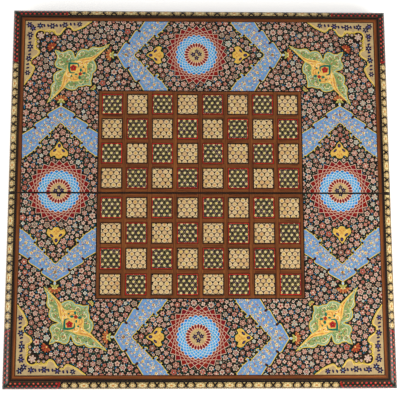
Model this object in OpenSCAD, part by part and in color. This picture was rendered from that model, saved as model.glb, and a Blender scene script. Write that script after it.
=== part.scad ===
// Folding games case with a marquetry chess field, opened flat.
// Two shallow trays lie rims down and meet at a fold that runs along X at y = 0.
// +Z is up, +Y is the rear half, and z = 0 is the underside of the hinge barrels.
// Each half is drawn for the rear, and the front half is its mirror image.

/* [Case] */
// Width and depth of the open case
case_w = 500; // [440:1:600]
// Height of one half, from its rim to its face
half_h = 38; // [30:1:50]
// Thickness of the tray walls
wall_t = 14; // [12:0.5:18]
// Gap between the two halves at the fold
fold_gap = 0.3; // [0.2:0.1:0.6]
// Thickness of the plywood core panel
panel_t = 6; // [4:0.5:8]
// Thickness of the face layer that is glued to the core panel
face_t = 1; // [0.6:0.1:1.5]

/* [Edge moulding] */
// Radius of the quarter-round moulding
edge_r = 10.4; // [8:0.1:12]
// Height of the moulding pieces
edge_h = 12; // [12:0.5:15]
// Thickness of the mosaic veneer on the moulding
veneer_t = 0.6; // [0.4:0.1:1]
// Length of the dark mosaic sections, measured from each corner
corner_len = 74; // [50:1:90]
// Thickness of the black caps that end the mouldings at the fold
cap_t = 2; // [1:0.5:4]
// Height of the plain wooden lip below the wall veneer
rim_lip_h = 6; // [4:0.5:10]
// Thickness of the veneer on the outside of the walls
wall_veneer_t = 0.8; // [0.5:0.1:1.2]

/* [Face bands] */
// Width of the dark band just inside the moulding
dark_band_w = 2.2; // [1:0.1:3]
// Width of the wood band inside the dark band
wood_band_w = 4.6; // [3:0.1:7]
// Width of the thin dark line between wood band and painting
string_w = 0.6; // [0.4:0.1:1]
// Width of the black lipping along the fold
fold_lip_w = 0.5; // [0.4:0.1:1]

/* [Chess field] */
// Side of one square, with its outline
square = 26.6; // [22:0.1:30]
// Width of the wooden strips between the squares
strip_w = 6.4; // [4:0.1:8]
// Width of the strip round the outside of the field
border_w = 4.2; // [3:0.1:7]
// Width of the strip beside the fold on each half
fold_strip_w = 6; // [4:0.1:8]
// Width of the outline round each square
outline_w = 0.9; // [0.6:0.1:1.5]

/* [Tray inside] */
// Thickness of the lining veneer inside the tray
lining_t = 1; // [0.6:0.1:1.5]
// Length of the points on the inside field
point_len = 192; // [150:1:205]
// Width of a point at its base, as a share of the space for it
point_share = 0.9; // [0.7:0.05:0.95]

/* [Hinges] */
// Radius of the hinge barrel
barrel_r = 1.7; // [1.5:0.1:2.5]
// Radius of the hinge pin
pin_r = 0.8; // [0.7:0.05:1]
// Length of one hinge
hinge_len = 40; // [30:1:60]
// Distance of the outer hinges from the middle one
hinge_pitch = 165; // [120:1:200]
// Width of a hinge leaf, from the pin to its free edge
leaf_w = 11.5; // [9:0.5:12]
// Thickness of a hinge leaf
leaf_t = 1; // [0.8:0.1:1.2]
// Length of the hinge screws
screw_len = 11; // [8:1:16]

/* [Magnets] */
// Radius of the magnet discs in the rims
magnet_r = 4; // [3:0.5:5]
// Thickness of the magnet discs
magnet_t = 3; // [2:0.5:4]
// Distance of each magnet from the middle of the end rail
magnet_x = 150; // [60:5:200]

/* [Hidden] */
$fn = 64;

// The fold axis is level with the barrel's middle, a hair below the rims
axis_z = barrel_r;
rim_gap = 0.1;
rim_z = axis_z + rim_gap;
top_z = rim_z + half_h;

// Levels of the face, the panel, the lining and the moulding
panel_top = top_z - face_t;
panel_low = panel_top - panel_t;
lining_low = panel_low - lining_t;
edge_low = top_z - edge_h;
veneer_low = rim_z + rim_lip_h;

// Distances across one half
half_w = case_w / 2;
fold_y = fold_gap / 2;
inner_x = half_w - wall_t;
inner_fold_y = fold_y + wall_t;
face_x = half_w - edge_r;
wood_x = face_x - dark_band_w;
string_x = wood_x - wood_band_w;
paint_x = string_x - string_w;

// The chess field: its columns across, and its rows from the fold outwards
pitch = square + strip_w;
columns = 8;
rows = 4;
chess_x = columns * square / 2 + (columns - 1) * strip_w / 2 + border_w;
chess_y = fold_y + fold_strip_w + rows * square + (rows - 1) * strip_w + border_w;
tile = square - 2 * outline_w;

// The points inside each tray
points_per_side = 6;
point_pitch = (half_w - wall_t - inner_fold_y) / points_per_side;
point_w = point_pitch * point_share;

// Hinge details
hinge_places = [-hinge_pitch, 0, hinge_pitch];
bore_r = pin_r + 0.05;
groove_r = barrel_r + 0.25;
leaf_end_y = 1;
leaf_clear_y = barrel_r + 0.4;
knuckle_gap = 0.2;
middle_knuckle = hinge_len * 0.4;
pin_head_r = pin_r + 0.45;
pin_head_t = 0.8;
groove_len = hinge_len + 2 * pin_head_t + 1.4;
screw_places = [-0.36 * hinge_len, 0, 0.36 * hinge_len];
screw_y = leaf_w * 0.57;
screw_r = 1;
screw_head_r = 2;
screw_play = 0.1;
slot_w = 0.5;
slot_d = 0.4;

// Colours as the photograph shows them
khatam_light = [0.80, 0.69, 0.49];
khatam_dark = [0.20, 0.18, 0.13];
wood_red = [0.42, 0.20, 0.10];
wood_brown = [0.43, 0.27, 0.14];
wood_plain = [0.62, 0.45, 0.29];
near_black = [0.07, 0.05, 0.04];
paint_ground = [0.16, 0.13, 0.12];
brass_colour = [0.78, 0.62, 0.30];

// A box between two corners
module block(low, high) {
    translate(low)
        cube(high - low);
}

// Turns a rear part into the front part opposite it
module as_front() {
    mirror([0, 1, 0])
        children();
}

// One flat frame in the face layer: the ring between two rectangles, open at the fold
module face_ring(outer, inner) {
    difference() {
        block([-outer, fold_y + fold_lip_w, panel_top], [outer, outer, top_z]);
        block([-inner, fold_y - 1, panel_top - 1], [inner, inner, top_z + 1]);
    }
}

// The core panel reaches the inside of the mouldings
module core_panel() {
    color(wood_plain)
        block([-face_x, fold_y, panel_low], [face_x, face_x, panel_top]);
}

// Space for the veneer on the outside of the three outer walls
module wall_veneer_space() {
    difference() {
        block([-half_w, fold_y, veneer_low], [half_w, half_w, edge_low]);
        block(
            [-half_w + wall_veneer_t, fold_y - 1, veneer_low - 1],
            [half_w - wall_veneer_t, half_w - wall_veneer_t, edge_low + 1]
        );
    }
}

// Space that the mouldings take from the tops of the walls
module moulding_space() {
    difference() {
        block([-half_w - 1, fold_y - 1, edge_low], [half_w + 1, half_w + 1, top_z + 1]);
        block([-face_x, fold_y - 2, edge_low - 1], [face_x, face_x, top_z + 2]);
    }
}

// The right wall runs the full depth of its half and carries the panel on a tongue
module right_rail() {
    color(wood_red)
        difference() {
            block([inner_x, fold_y, rim_z], [half_w, half_w, panel_low]);
            wall_veneer_space();
            moulding_space();
        }
}

module left_rail() {
    mirror([1, 0, 0])
        right_rail();
}

// The end wall stands between the side walls and holds the magnets in its rim
module end_rail() {
    color(wood_red)
        difference() {
            block([-inner_x, inner_x, rim_z], [inner_x, half_w, panel_low]);
            wall_veneer_space();
            moulding_space();
            magnet_discs();
        }
}

// The wall at the fold, cut out for the hinge leaves, barrels and screws
module hinge_rail() {
    color(wood_red)
        difference() {
            block([-inner_x, fold_y, rim_z], [inner_x, inner_fold_y, panel_low]);
            for (x = hinge_places)
                translate([x, 0, 0])
                    hinge_recess();
        }
}

module hinge_recess() {
    block([-hinge_len / 2, -1, rim_z - 1], [hinge_len / 2, leaf_w, rim_z + leaf_t]);
    translate([-groove_len / 2, 0, axis_z])
        rotate([0, 90, 0])
            cylinder(h = groove_len, r = groove_r);
    for (x = screw_places)
        translate([x, screw_y, rim_z])
            cylinder(h = screw_len, r = screw_r);
}

// Quarter-round section: x runs outwards from the face's edge, y is the height
module quarter_section(radius) {
    intersection() {
        translate([0, edge_h - edge_r])
            circle(r = radius);
        translate([0, edge_h - edge_r])
            square([edge_r + 1, edge_r + 1]);
    }
}

// Wooden core of the moulding under its veneer
module core_section() {
    quarter_section(edge_r - veneer_t);
    square([edge_r, edge_h - edge_r]);
}

// The veneer that wraps the quarter-round
module veneer_section() {
    difference() {
        quarter_section(edge_r);
        circle_cut();
    }
}

module circle_cut() {
    translate([0, edge_h - edge_r])
        circle(r = edge_r - veneer_t);
}

// The whole section, core and veneer together
module full_section() {
    quarter_section(edge_r);
    square([edge_r, edge_h - edge_r]);
}

// A length of moulding along Y on the right side, from y_low to y_high
module right_length(y_low, y_high) {
    translate([face_x, y_high, edge_low])
        rotate([90, 0, 0])
            linear_extrude(height = y_high - y_low)
                children();
}

// A length of moulding along X at the far end, from x_low to x_high
module end_length(x_low, x_high) {
    translate([x_low, face_x, edge_low])
        rotate([90, 0, 90])
            linear_extrude(height = x_high - x_low)
                children();
}

// Keeps what lies on the right-hand side of the corner's mitre
module right_mitre() {
    intersection() {
        children();
        translate([0, 0, edge_low - 1])
            linear_extrude(height = edge_h + 2)
                polygon([[0, 0], [half_w + 5, 0], [half_w + 5, half_w + 5]]);
    }
}

// Keeps what lies on the far end's side of both mitres
module end_mitre() {
    intersection() {
        children();
        translate([0, 0, edge_low - 1])
            linear_extrude(height = edge_h + 2)
                polygon([[0, 0], [half_w + 5, half_w + 5], [-half_w - 5, half_w + 5]]);
    }
}

module right_moulding() {
    color(wood_plain)
        right_mitre()
            right_length(fold_y + cap_t, half_w)
                core_section();
}

module left_moulding() {
    mirror([1, 0, 0])
        right_moulding();
}

module end_moulding() {
    color(wood_plain)
        end_mitre()
            end_length(-half_w, half_w)
                core_section();
}

// Star mosaic on the straight middle lengths of the mouldings
module edge_mosaic() {
    color(khatam_light) {
        for (side = [0, 1])
            mirror([side, 0, 0])
                right_length(fold_y + cap_t, half_w - corner_len)
                    veneer_section();
        end_length(-half_w + corner_len, half_w - corner_len)
            veneer_section();
    }
}

// Dark mosaic on the two arms of each corner
module corner_mosaic() {
    color(khatam_dark)
        for (side = [0, 1])
            mirror([side, 0, 0]) {
                right_mitre()
                    right_length(half_w - corner_len, half_w)
                        veneer_section();
                end_mitre()
                    end_length(half_w - corner_len, half_w)
                        veneer_section();
            }
}

// Black end pieces of the side mouldings at the fold
module fold_caps() {
    color(near_black)
        for (side = [0, 1])
            mirror([side, 0, 0])
                right_length(fold_y, fold_y + cap_t)
                    full_section();
}

module wall_veneer() {
    color(khatam_light)
        wall_veneer_space();
}

// The painting lies round three sides of the chess field
module painted_panel() {
    color(paint_ground)
        difference() {
            block([-paint_x, fold_y + fold_lip_w, panel_top], [paint_x, paint_x, top_z]);
            block([-chess_x, fold_y - 1, panel_top - 1], [chess_x, chess_y, top_z + 1]);
        }
}

module wood_band() {
    color(wood_brown)
        face_ring(wood_x, string_x);
}

module dark_band() {
    color(near_black)
        face_ring(face_x, wood_x);
}

module stringing() {
    color(near_black)
        face_ring(string_x, paint_x);
}

module fold_lip() {
    color(near_black)
        block([-face_x, fold_y, panel_top], [face_x, fold_y + fold_lip_w, top_z]);
}

// Places its children at each square of one colour, counted from the fold outwards
module at_squares(parity) {
    for (column = [0:columns - 1])
        for (row = [0:rows - 1])
            if ((row + column) % 2 == parity)
                translate([
                    (column - (columns - 1) / 2) * pitch,
                    fold_y + fold_strip_w + square / 2 + row * pitch,
                    panel_top
                ])
                    children();
}

module square_plate(side) {
    translate([-side / 2, -side / 2, 0])
        cube([side, side, face_t]);
}

module outline_frame() {
    difference() {
        square_plate(square);
        translate([-tile / 2, -tile / 2, -1])
            cube([tile, tile, face_t + 2]);
    }
}

// The wooden strips are one lattice with a window for every square
module grid_strips() {
    color(wood_red)
        difference() {
            block([-chess_x, fold_y + fold_lip_w, panel_top], [chess_x, chess_y, top_z]);
            for (parity = [0, 1])
                at_squares(parity)
                    translate([-square / 2, -square / 2, -1])
                        cube([square, square, face_t + 2]);
        }
}

module light_squares(parity) {
    color(khatam_light)
        at_squares(parity)
            square_plate(tile);
}

module dark_squares(parity) {
    color(khatam_dark)
        at_squares(parity)
            square_plate(tile);
}

module black_outlines(parity) {
    color(near_black)
        at_squares(parity)
            outline_frame();
}

module red_outlines(parity) {
    color([0.50, 0.06, 0.06])
        at_squares(parity)
            outline_frame();
}

// One point of the inside field, with its base on the right wall
module point_shape() {
    linear_extrude(height = lining_t)
        polygon([[inner_x, -point_w / 2], [inner_x, point_w / 2], [inner_x - point_len, 0]]);
}

// The points of one colour: they alternate along each side wall and across the tray
module points(parity) {
    for (side = [0, 1])
        mirror([side, 0, 0])
            for (i = [0:points_per_side - 1])
                if ((i + side) % 2 == parity)
                    translate([0, inner_fold_y + (i + 0.5) * point_pitch, lining_low])
                        point_shape();
}

module lining() {
    color(wood_brown)
        difference() {
            block([-inner_x, inner_fold_y, lining_low], [inner_x, inner_x, panel_low]);
            for (parity = [0, 1])
                points(parity);
        }
}

module light_points() {
    color(khatam_light)
        points(0);
}

module dark_points() {
    color(khatam_dark)
        points(1);
}

// Discs set flush in the rim of the end wall
module magnet_discs() {
    for (side = [-1, 1])
        translate([side * magnet_x, half_w - wall_t / 2, rim_z])
            cylinder(h = magnet_t, r = magnet_r);
}

module magnets() {
    color("silver")
        magnet_discs();
}

// A round bar along X between two places, on the fold axis
module on_axis(x_low, x_high, radius) {
    translate([x_low, 0, axis_z])
        rotate([0, 90, 0])
            cylinder(h = x_high - x_low, r = radius);
}

// Leaf plate and knuckles of one hinge; the middle knuckle belongs to the other half
module outer_leaf() {
    middle = middle_knuckle / 2;
    difference() {
        union() {
            leaf_plate();
            for (side = [0, 1])
                mirror([side, 0, 0]) {
                    block([middle, leaf_end_y, rim_z], [hinge_len / 2, leaf_clear_y, rim_z + leaf_t]);
                    on_axis(middle, hinge_len / 2, barrel_r);
                }
        }
        leaf_holes();
    }
}

module middle_leaf() {
    middle = middle_knuckle / 2 - knuckle_gap;
    difference() {
        union() {
            leaf_plate();
            block([-middle, leaf_end_y, rim_z], [middle, leaf_clear_y, rim_z + leaf_t]);
            on_axis(-middle, middle, barrel_r);
        }
        leaf_holes();
    }
}

module leaf_plate() {
    block([-hinge_len / 2, leaf_clear_y, rim_z], [hinge_len / 2, leaf_w, rim_z + leaf_t]);
}

// The pin's bore and the countersunk screw holes
module leaf_holes() {
    on_axis(-hinge_len, hinge_len, bore_r);
    for (x = screw_places)
        translate([x, screw_y, rim_z]) {
            cylinder(h = leaf_t, r1 = screw_head_r + screw_play, r2 = screw_r + screw_play);
            translate([0, 0, leaf_t / 2])
                cylinder(h = leaf_t, r = screw_r + screw_play);
        }
}

module hinge_leaves(outer) {
    color(brass_colour)
        for (x = hinge_places)
            translate([x, 0, 0])
                if (outer)
                    outer_leaf();
                else
                    middle_leaf();
}

// A countersunk screw with a slot across its head
module screw() {
    difference() {
        union() {
            cylinder(h = leaf_t, r1 = screw_head_r, r2 = screw_r);
            cylinder(h = screw_len, r = screw_r);
        }
        translate([-screw_head_r - 1, -slot_w / 2, -1])
            cube([2 * screw_head_r + 2, slot_w, slot_d + 1]);
    }
}

module hinge_screws() {
    color(brass_colour)
        for (x = hinge_places)
            for (offset = screw_places)
                translate([x + offset, screw_y, rim_z])
                    screw();
}

// Each pin has a head at both ends, outside the knuckles
module hinge_pins() {
    color(brass_colour)
        for (x = hinge_places)
            translate([x, 0, 0]) {
                on_axis(-hinge_len / 2, hinge_len / 2, pin_r);
                on_axis(-hinge_len / 2 - pin_head_t, -hinge_len / 2, pin_head_r);
                on_axis(hinge_len / 2, hinge_len / 2 + pin_head_t, pin_head_r);
            }
}

// Front half
as_front() core_panel();  // front_core_panel
as_front() end_rail();  // front_end_rail
as_front() hinge_rail();  // front_hinge_rail
as_front() left_rail();  // front_left_rail
as_front() right_rail();  // front_right_rail
as_front() end_moulding();  // front_end_moulding
as_front() left_moulding();  // front_left_moulding
as_front() right_moulding();  // front_right_moulding
as_front() edge_mosaic();  // front_edge_mosaic
as_front() corner_mosaic();  // front_corner_mosaic
as_front() fold_caps();  // front_fold_caps
as_front() wall_veneer();  // front_wall_veneer
as_front() painted_panel();  // front_painted_panel
as_front() wood_band();  // front_wood_band
as_front() dark_band();  // front_dark_band
as_front() stringing();  // front_stringing
as_front() fold_lip();  // front_fold_lip
as_front() grid_strips();  // front_grid_strips
as_front() light_squares(1);  // front_light_squares
as_front() dark_squares(0);  // front_dark_squares
as_front() black_outlines(1);  // front_black_outlines
as_front() red_outlines(0);  // front_red_outlines
as_front() lining();  // front_lining
as_front() light_points();  // front_light_points
as_front() dark_points();  // front_dark_points
as_front() magnets();  // front_magnets
as_front() hinge_leaves(true);  // front_hinge_leaves
as_front() hinge_screws();  // front_hinge_screws

// Rear half
core_panel();  // rear_core_panel
end_rail();  // rear_end_rail
hinge_rail();  // rear_hinge_rail
left_rail();  // rear_left_rail
right_rail();  // rear_right_rail
end_moulding();  // rear_end_moulding
left_moulding();  // rear_left_moulding
right_moulding();  // rear_right_moulding
edge_mosaic();  // rear_edge_mosaic
corner_mosaic();  // rear_corner_mosaic
fold_caps();  // rear_fold_caps
wall_veneer();  // rear_wall_veneer
painted_panel();  // rear_painted_panel
wood_band();  // rear_wood_band
dark_band();  // rear_dark_band
stringing();  // rear_stringing
fold_lip();  // rear_fold_lip
grid_strips();  // rear_grid_strips
light_squares(0);  // rear_light_squares
dark_squares(1);  // rear_dark_squares
black_outlines(0);  // rear_black_outlines
red_outlines(1);  // rear_red_outlines
lining();  // rear_lining
light_points();  // rear_light_points
dark_points();  // rear_dark_points
magnets();  // rear_magnets
hinge_leaves(false);  // rear_hinge_leaves
hinge_screws();  // rear_hinge_screws

// The pins stay with the front half
hinge_pins();
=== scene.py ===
"""Folding marquetry chess board, open flat.

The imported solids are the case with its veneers, tiles and brass. This script gives each of them
its finish, and adds what is too fine for them: the painted flowers, bands and medallions, and
the rods of the star mosaic. Sizes are in millimetres up to the moment a mesh is made. Those of
the finishes and of the stage are in metres.
"""
import math
import random

import bpy
import numpy as np
from mathutils import Matrix, Vector
from mathutils.geometry import tessellate_polygon


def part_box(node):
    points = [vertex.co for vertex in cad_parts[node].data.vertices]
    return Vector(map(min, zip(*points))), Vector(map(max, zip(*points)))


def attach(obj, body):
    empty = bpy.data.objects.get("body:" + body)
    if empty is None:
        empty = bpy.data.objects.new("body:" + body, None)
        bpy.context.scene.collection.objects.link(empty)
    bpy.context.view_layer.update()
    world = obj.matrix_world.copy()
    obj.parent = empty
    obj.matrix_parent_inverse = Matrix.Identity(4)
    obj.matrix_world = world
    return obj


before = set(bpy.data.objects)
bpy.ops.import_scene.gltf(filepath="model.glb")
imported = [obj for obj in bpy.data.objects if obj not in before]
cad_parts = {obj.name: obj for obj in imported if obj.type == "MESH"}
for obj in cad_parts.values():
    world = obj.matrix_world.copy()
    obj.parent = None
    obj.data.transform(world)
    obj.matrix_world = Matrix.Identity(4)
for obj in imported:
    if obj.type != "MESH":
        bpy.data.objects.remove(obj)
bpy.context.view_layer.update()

MM = 0.001
TAU = 2 * math.pi
SEED = 11
HALVES = ("front", "rear")

# Sizes read from the solids
_, panel_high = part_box("front_painted_panel")
chess_low, chess_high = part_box("front_grid_strips")
edge_low, edge_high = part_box("front_edge_mosaic")
_, corner_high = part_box("front_corner_mosaic")
veneer_low, veneer_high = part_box("front_wall_veneer")
_, band_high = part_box("front_wood_band")
FACE = panel_high.z / MM
PAINT = panel_high.x / MM
FOLD = -panel_high.y / MM
CHESS_X = chess_high.x / MM
CHESS_Y = -chess_low.y / MM
CASE = edge_high.x / MM
ROUND_MIDDLE = edge_low.z / MM
ROUND_RADIUS = FACE - ROUND_MIDDLE
ROUND_START = CASE - ROUND_RADIUS
ROUND_ARC = ROUND_RADIUS * math.pi / 2
CAP_END = -edge_high.y / MM
CORNER_START = -corner_high.y / MM
WALL_LOW = veneer_low.z / MM
WALL_HIGH = veneer_high.z / MM
SQUARES_ACROSS = 8
tile_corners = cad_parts["front_dark_squares"].data.vertices
tile_edges = sorted({round(corner.co.x / MM, 2) for corner in tile_corners})
TILE = tile_edges[1] - tile_edges[0]
PITCH = (tile_edges[-1] - tile_edges[0] - TILE) / (SQUARES_ACROSS - 1)

# Paint and inlay stand this far above each other, one layer to a level
LIFT = 0.03
# The painting and the strips are black this far from the fold's own black edge
FOLD_BARE = 0.5


# Shader tools


def srgb(red, green, blue):
    """A colour as a painter reads it off, 0 to 255, in the shader's own scale."""
    linear = []
    for tone in (red / 255, green / 255, blue / 255):
        linear.append(tone / 12.92 if tone <= 0.04045 else ((tone + 0.055) / 1.055) ** 2.4)
    return (*linear, 1.0)


def put(tree, kind, inputs=None, **settings):
    """Adds a node, and links or sets its inputs."""
    node = tree.nodes.new(kind)
    for key, value in settings.items():
        setattr(node, key, value)
    for key, value in (inputs or {}).items():
        join(tree, value, node.inputs[key])
    return node


def join(tree, value, socket):
    """Feeds a socket from another one, or with a plain value."""
    if isinstance(value, bpy.types.NodeSocket):
        tree.links.new(value, socket)
    else:
        socket.default_value = value


def maths(tree, operation, first, second=0.0, third=None):
    inputs = {0: first, 1: second}
    if third is not None:
        inputs[2] = third
    return put(tree, "ShaderNodeMath", inputs, operation=operation).outputs[0]


def vector_maths(tree, operation, first, second):
    return put(tree, "ShaderNodeVectorMath", {0: first, 1: second}, operation=operation).outputs[0]


def spread(tree, value, low, high, out_low=0.0, out_high=1.0):
    """Stretches a value from one range to another, and holds it there."""
    inputs = {"Value": value, "From Min": low, "From Max": high, "To Min": out_low, "To Max": out_high}
    return put(tree, "ShaderNodeMapRange", inputs).outputs["Result"]


def mixed(tree, share, under, over, mode="MIX"):
    """Two colours laid over each other."""
    node = put(tree, "ShaderNodeMix", data_type="RGBA", blend_type=mode)
    join(tree, share, node.inputs[0])
    join(tree, under, node.inputs[6])
    join(tree, over, node.inputs[7])
    return node.outputs[2]


def either(tree, switch, first, second):
    """The first place, or the second where the switch is 1."""
    node = put(tree, "ShaderNodeMix", data_type="VECTOR")
    join(tree, switch, node.inputs[0])
    join(tree, first, node.inputs[4])
    join(tree, second, node.inputs[5])
    return node.outputs[1]


def axes_of(tree, place):
    """The X, Y and Z of a place."""
    return put(tree, "ShaderNodeSeparateXYZ", {0: place}).outputs


def crosswise(tree, place):
    """A place with its X and Y exchanged."""
    x, y, z = axes_of(tree, place)
    return put(tree, "ShaderNodeCombineXYZ", {"X": y, "Y": x, "Z": z}).outputs[0]


def counted(tree, place, size):
    """A place counted in steps of a size."""
    node = put(tree, "ShaderNodeVectorMath", {0: place}, operation="SCALE")
    join(tree, maths(tree, "DIVIDE", 1.0, size), node.inputs["Scale"])
    return node.outputs[0]


def noise(tree, place, scale=1.0, detail=3.0, roughness=0.55, distortion=0.0):
    inputs = {"Vector": place, "Scale": scale, "Detail": detail, "Roughness": roughness,
              "Distortion": distortion}
    return put(tree, "ShaderNodeTexNoise", inputs).outputs["Fac"]


def new_group(name, inputs, outputs):
    """An empty shader group with named sockets. Gives the group, its inputs and its output node."""
    tree = bpy.data.node_groups.new(name, "ShaderNodeTree")
    kinds = {"colour": "NodeSocketColor", "value": "NodeSocketFloat", "vector": "NodeSocketVector"}
    for label, kind, value in inputs:
        socket = tree.interface.new_socket(label, in_out="INPUT", socket_type=kinds[kind])
        socket.default_value = value
    for label, kind in outputs:
        tree.interface.new_socket(label, in_out="OUTPUT", socket_type=kinds[kind])
    given = put(tree, "NodeGroupInput").outputs
    return tree, given, put(tree, "NodeGroupOutput").inputs


def use(tree, group, inputs):
    """Places a group in a material, with its values."""
    node = tree.nodes.new("ShaderNodeGroup")
    node.node_tree = group
    for key, value in inputs.items():
        join(tree, value, node.inputs[key])
    return node.outputs


# Effects that several finishes share

# The place on the board, which every group starts from
PLACE = ("Vector", "vector", (0, 0, 0))
# The size of a mark, along X, Y and Z
FIGURE_LENGTH = 0.11
PORE = (0.012, 0.0005, 0.0005)
BRUSH_MARK = (0.0011, 0.0004, 0.001)
# How many marks there are to a metre, along X, Y and Z
RUBBING_MARKS = (900.0, 70.0, 300.0)
SCRATCHES = (300.0, 6000.0, 6000.0)
SMEARS = 28.0
WORN_PATCHES = 90.0
FILM_SPOTS = 140.0
# What the uneven parts of a brushwork come to on average
BRUSHWORK_MEAN = 0.675
BEVEL_SAMPLES = 4
ROD_SHIFT = 0.35


def wood_grain_group():
    """Figure and pores of wood that runs along X."""
    tree, given, out = new_group(
        "wood grain",
        [PLACE, ("Pale", "colour", srgb(150, 100, 60)), ("Dark", "colour", srgb(80, 45, 25)),
         ("Figure", "value", 0.006), ("Pores", "value", 0.5)],
        [("Color", "colour"), ("Height", "value")])
    across = given["Figure"]
    size = put(tree, "ShaderNodeCombineXYZ", {"X": FIGURE_LENGTH, "Y": across, "Z": across}).outputs[0]
    drawn_out = vector_maths(tree, "DIVIDE", given["Vector"], size)
    figure = noise(tree, drawn_out, detail=4.0, roughness=0.5, distortion=0.8)
    band = spread(tree, figure, 0.33, 0.67)
    fine = noise(tree, vector_maths(tree, "DIVIDE", given["Vector"], PORE), detail=2.0)
    pores = spread(tree, fine, 0.36, 0.52)
    colour = mixed(tree, band, given["Dark"], given["Pale"])
    depth = maths(tree, "MULTIPLY", given["Pores"], maths(tree, "SUBTRACT", 1.0, pores))
    join(tree, mixed(tree, depth, colour, given["Dark"], "MULTIPLY"), out["Color"])
    join(tree, maths(tree, "MULTIPLY_ADD", band, 0.3, pores), out["Height"])
    return tree


def mitre_group():
    """Turns places so that X runs along the nearest side of the board, as in a mitred frame."""
    tree, given, out = new_group("mitred frame", [PLACE], [("Vector", "vector")])
    place = given["Vector"]
    x, y, _ = axes_of(tree, place)
    beside = maths(tree, "GREATER_THAN", maths(tree, "ABSOLUTE", x), maths(tree, "ABSOLUTE", y))
    join(tree, either(tree, beside, place, crosswise(tree, place)), out["Vector"])
    return tree


def brushwork_group():
    """Uneven paint: broad thin and thick places, and the marks of a fine brush."""
    tree, given, out = new_group(
        "brushwork",
        [PLACE, ("Color", "colour", srgb(200, 150, 120)), ("Unevenness", "value", 0.25),
         ("Size", "value", 0.004)],
        [("Color", "colour"), ("Height", "value")])
    broad = noise(tree, counted(tree, given["Vector"], given["Size"]), roughness=0.6)
    strokes = noise(tree, vector_maths(tree, "DIVIDE", given["Vector"], BRUSH_MARK), detail=2.0)
    both = maths(tree, "MULTIPLY_ADD", strokes, 0.35, broad)
    change = maths(tree, "SUBTRACT", both, BRUSHWORK_MEAN)
    value_change = maths(tree, "MULTIPLY", given["Unevenness"], 3.0)
    hue_change = maths(tree, "MULTIPLY", given["Unevenness"], 0.16)
    value = maths(tree, "MULTIPLY_ADD", change, value_change, 1.0)
    hue = maths(tree, "MULTIPLY_ADD", change, hue_change, 0.5)
    shifted = put(tree, "ShaderNodeHueSaturation", {"Hue": hue, "Value": value, "Color": given["Color"]})
    join(tree, shifted.outputs[0], out["Color"])
    join(tree, strokes, out["Height"])
    return tree


def lacquer_group():
    """A hand-rubbed lacquer: broad smears and fine rubbing marks, which leave it duller."""
    tree, given, out = new_group(
        "lacquer", [PLACE, ("Roughness", "value", 0.3), ("Handling", "value", 0.5)],
        [("Roughness", "value")])
    smear = noise(tree, given["Vector"], SMEARS, detail=4.0, roughness=0.6, distortion=0.5)
    rubbed = noise(tree, vector_maths(tree, "MULTIPLY", given["Vector"], RUBBING_MARKS), detail=2.0)
    smeared = spread(tree, smear, 0.4, 0.75)
    marks = maths(tree, "MULTIPLY_ADD", spread(tree, rubbed, 0.6, 0.8), 0.5, smeared)
    worn = maths(tree, "MULTIPLY", marks, given["Handling"])
    rough = maths(tree, "MULTIPLY_ADD", worn, 0.22, given["Roughness"])
    join(tree, maths(tree, "MINIMUM", rough, 1.0), out["Roughness"])
    return tree


def worn_edge_group():
    """Where a solid's edges are rubbed: the share of wear, from how far its corners would round off."""
    tree, given, out = new_group(
        "worn edges", [PLACE, ("Width", "value", 0.0007)], [("Wear", "value")])
    rounded = put(tree, "ShaderNodeBevel", {"Radius": given["Width"]}, samples=BEVEL_SAMPLES).outputs[0]
    sharp = put(tree, "ShaderNodeNewGeometry").outputs["Normal"]
    likeness = put(tree, "ShaderNodeVectorMath", {0: rounded, 1: sharp}, operation="DOT_PRODUCT")
    edge = spread(tree, likeness.outputs["Value"], 0.99, 0.8)
    patches = spread(tree, noise(tree, given["Vector"], WORN_PATCHES), 0.35, 0.6)
    join(tree, maths(tree, "MULTIPLY", edge, patches), out["Wear"])
    return tree


def rod_ends_group():
    """The ends of thin rods packed together in a block of mosaic, each a little apart in tone."""
    tree, given, out = new_group(
        "rod ends",
        [PLACE, ("Color", "colour", srgb(200, 170, 120)), ("Joint", "colour", srgb(90, 66, 44)),
         ("Rod", "value", 0.0011), ("Contrast", "value", 0.3)],
        [("Color", "colour"), ("Height", "value")])
    place = counted(tree, given["Vector"], given["Rod"])
    rods = put(tree, "ShaderNodeTexVoronoi", {"Vector": place, "Scale": 1.0, "Randomness": ROD_SHIFT})
    tone = put(tree, "ShaderNodeSeparateColor", {0: rods.outputs["Color"]}).outputs[0]
    shade = maths(tree, "MULTIPLY_ADD", maths(tree, "SUBTRACT", tone, 0.5), given["Contrast"], 1.0)
    ends = put(tree, "ShaderNodeHueSaturation", {"Value": shade, "Color": given["Color"]}).outputs[0]
    seam = spread(tree, rods.outputs["Distance"], 0.42, 0.62)
    join(tree, mixed(tree, maths(tree, "MULTIPLY", seam, 0.7), ends, given["Joint"]), out["Color"])
    join(tree, maths(tree, "SUBTRACT", 1.0, seam), out["Height"])
    return tree


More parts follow.
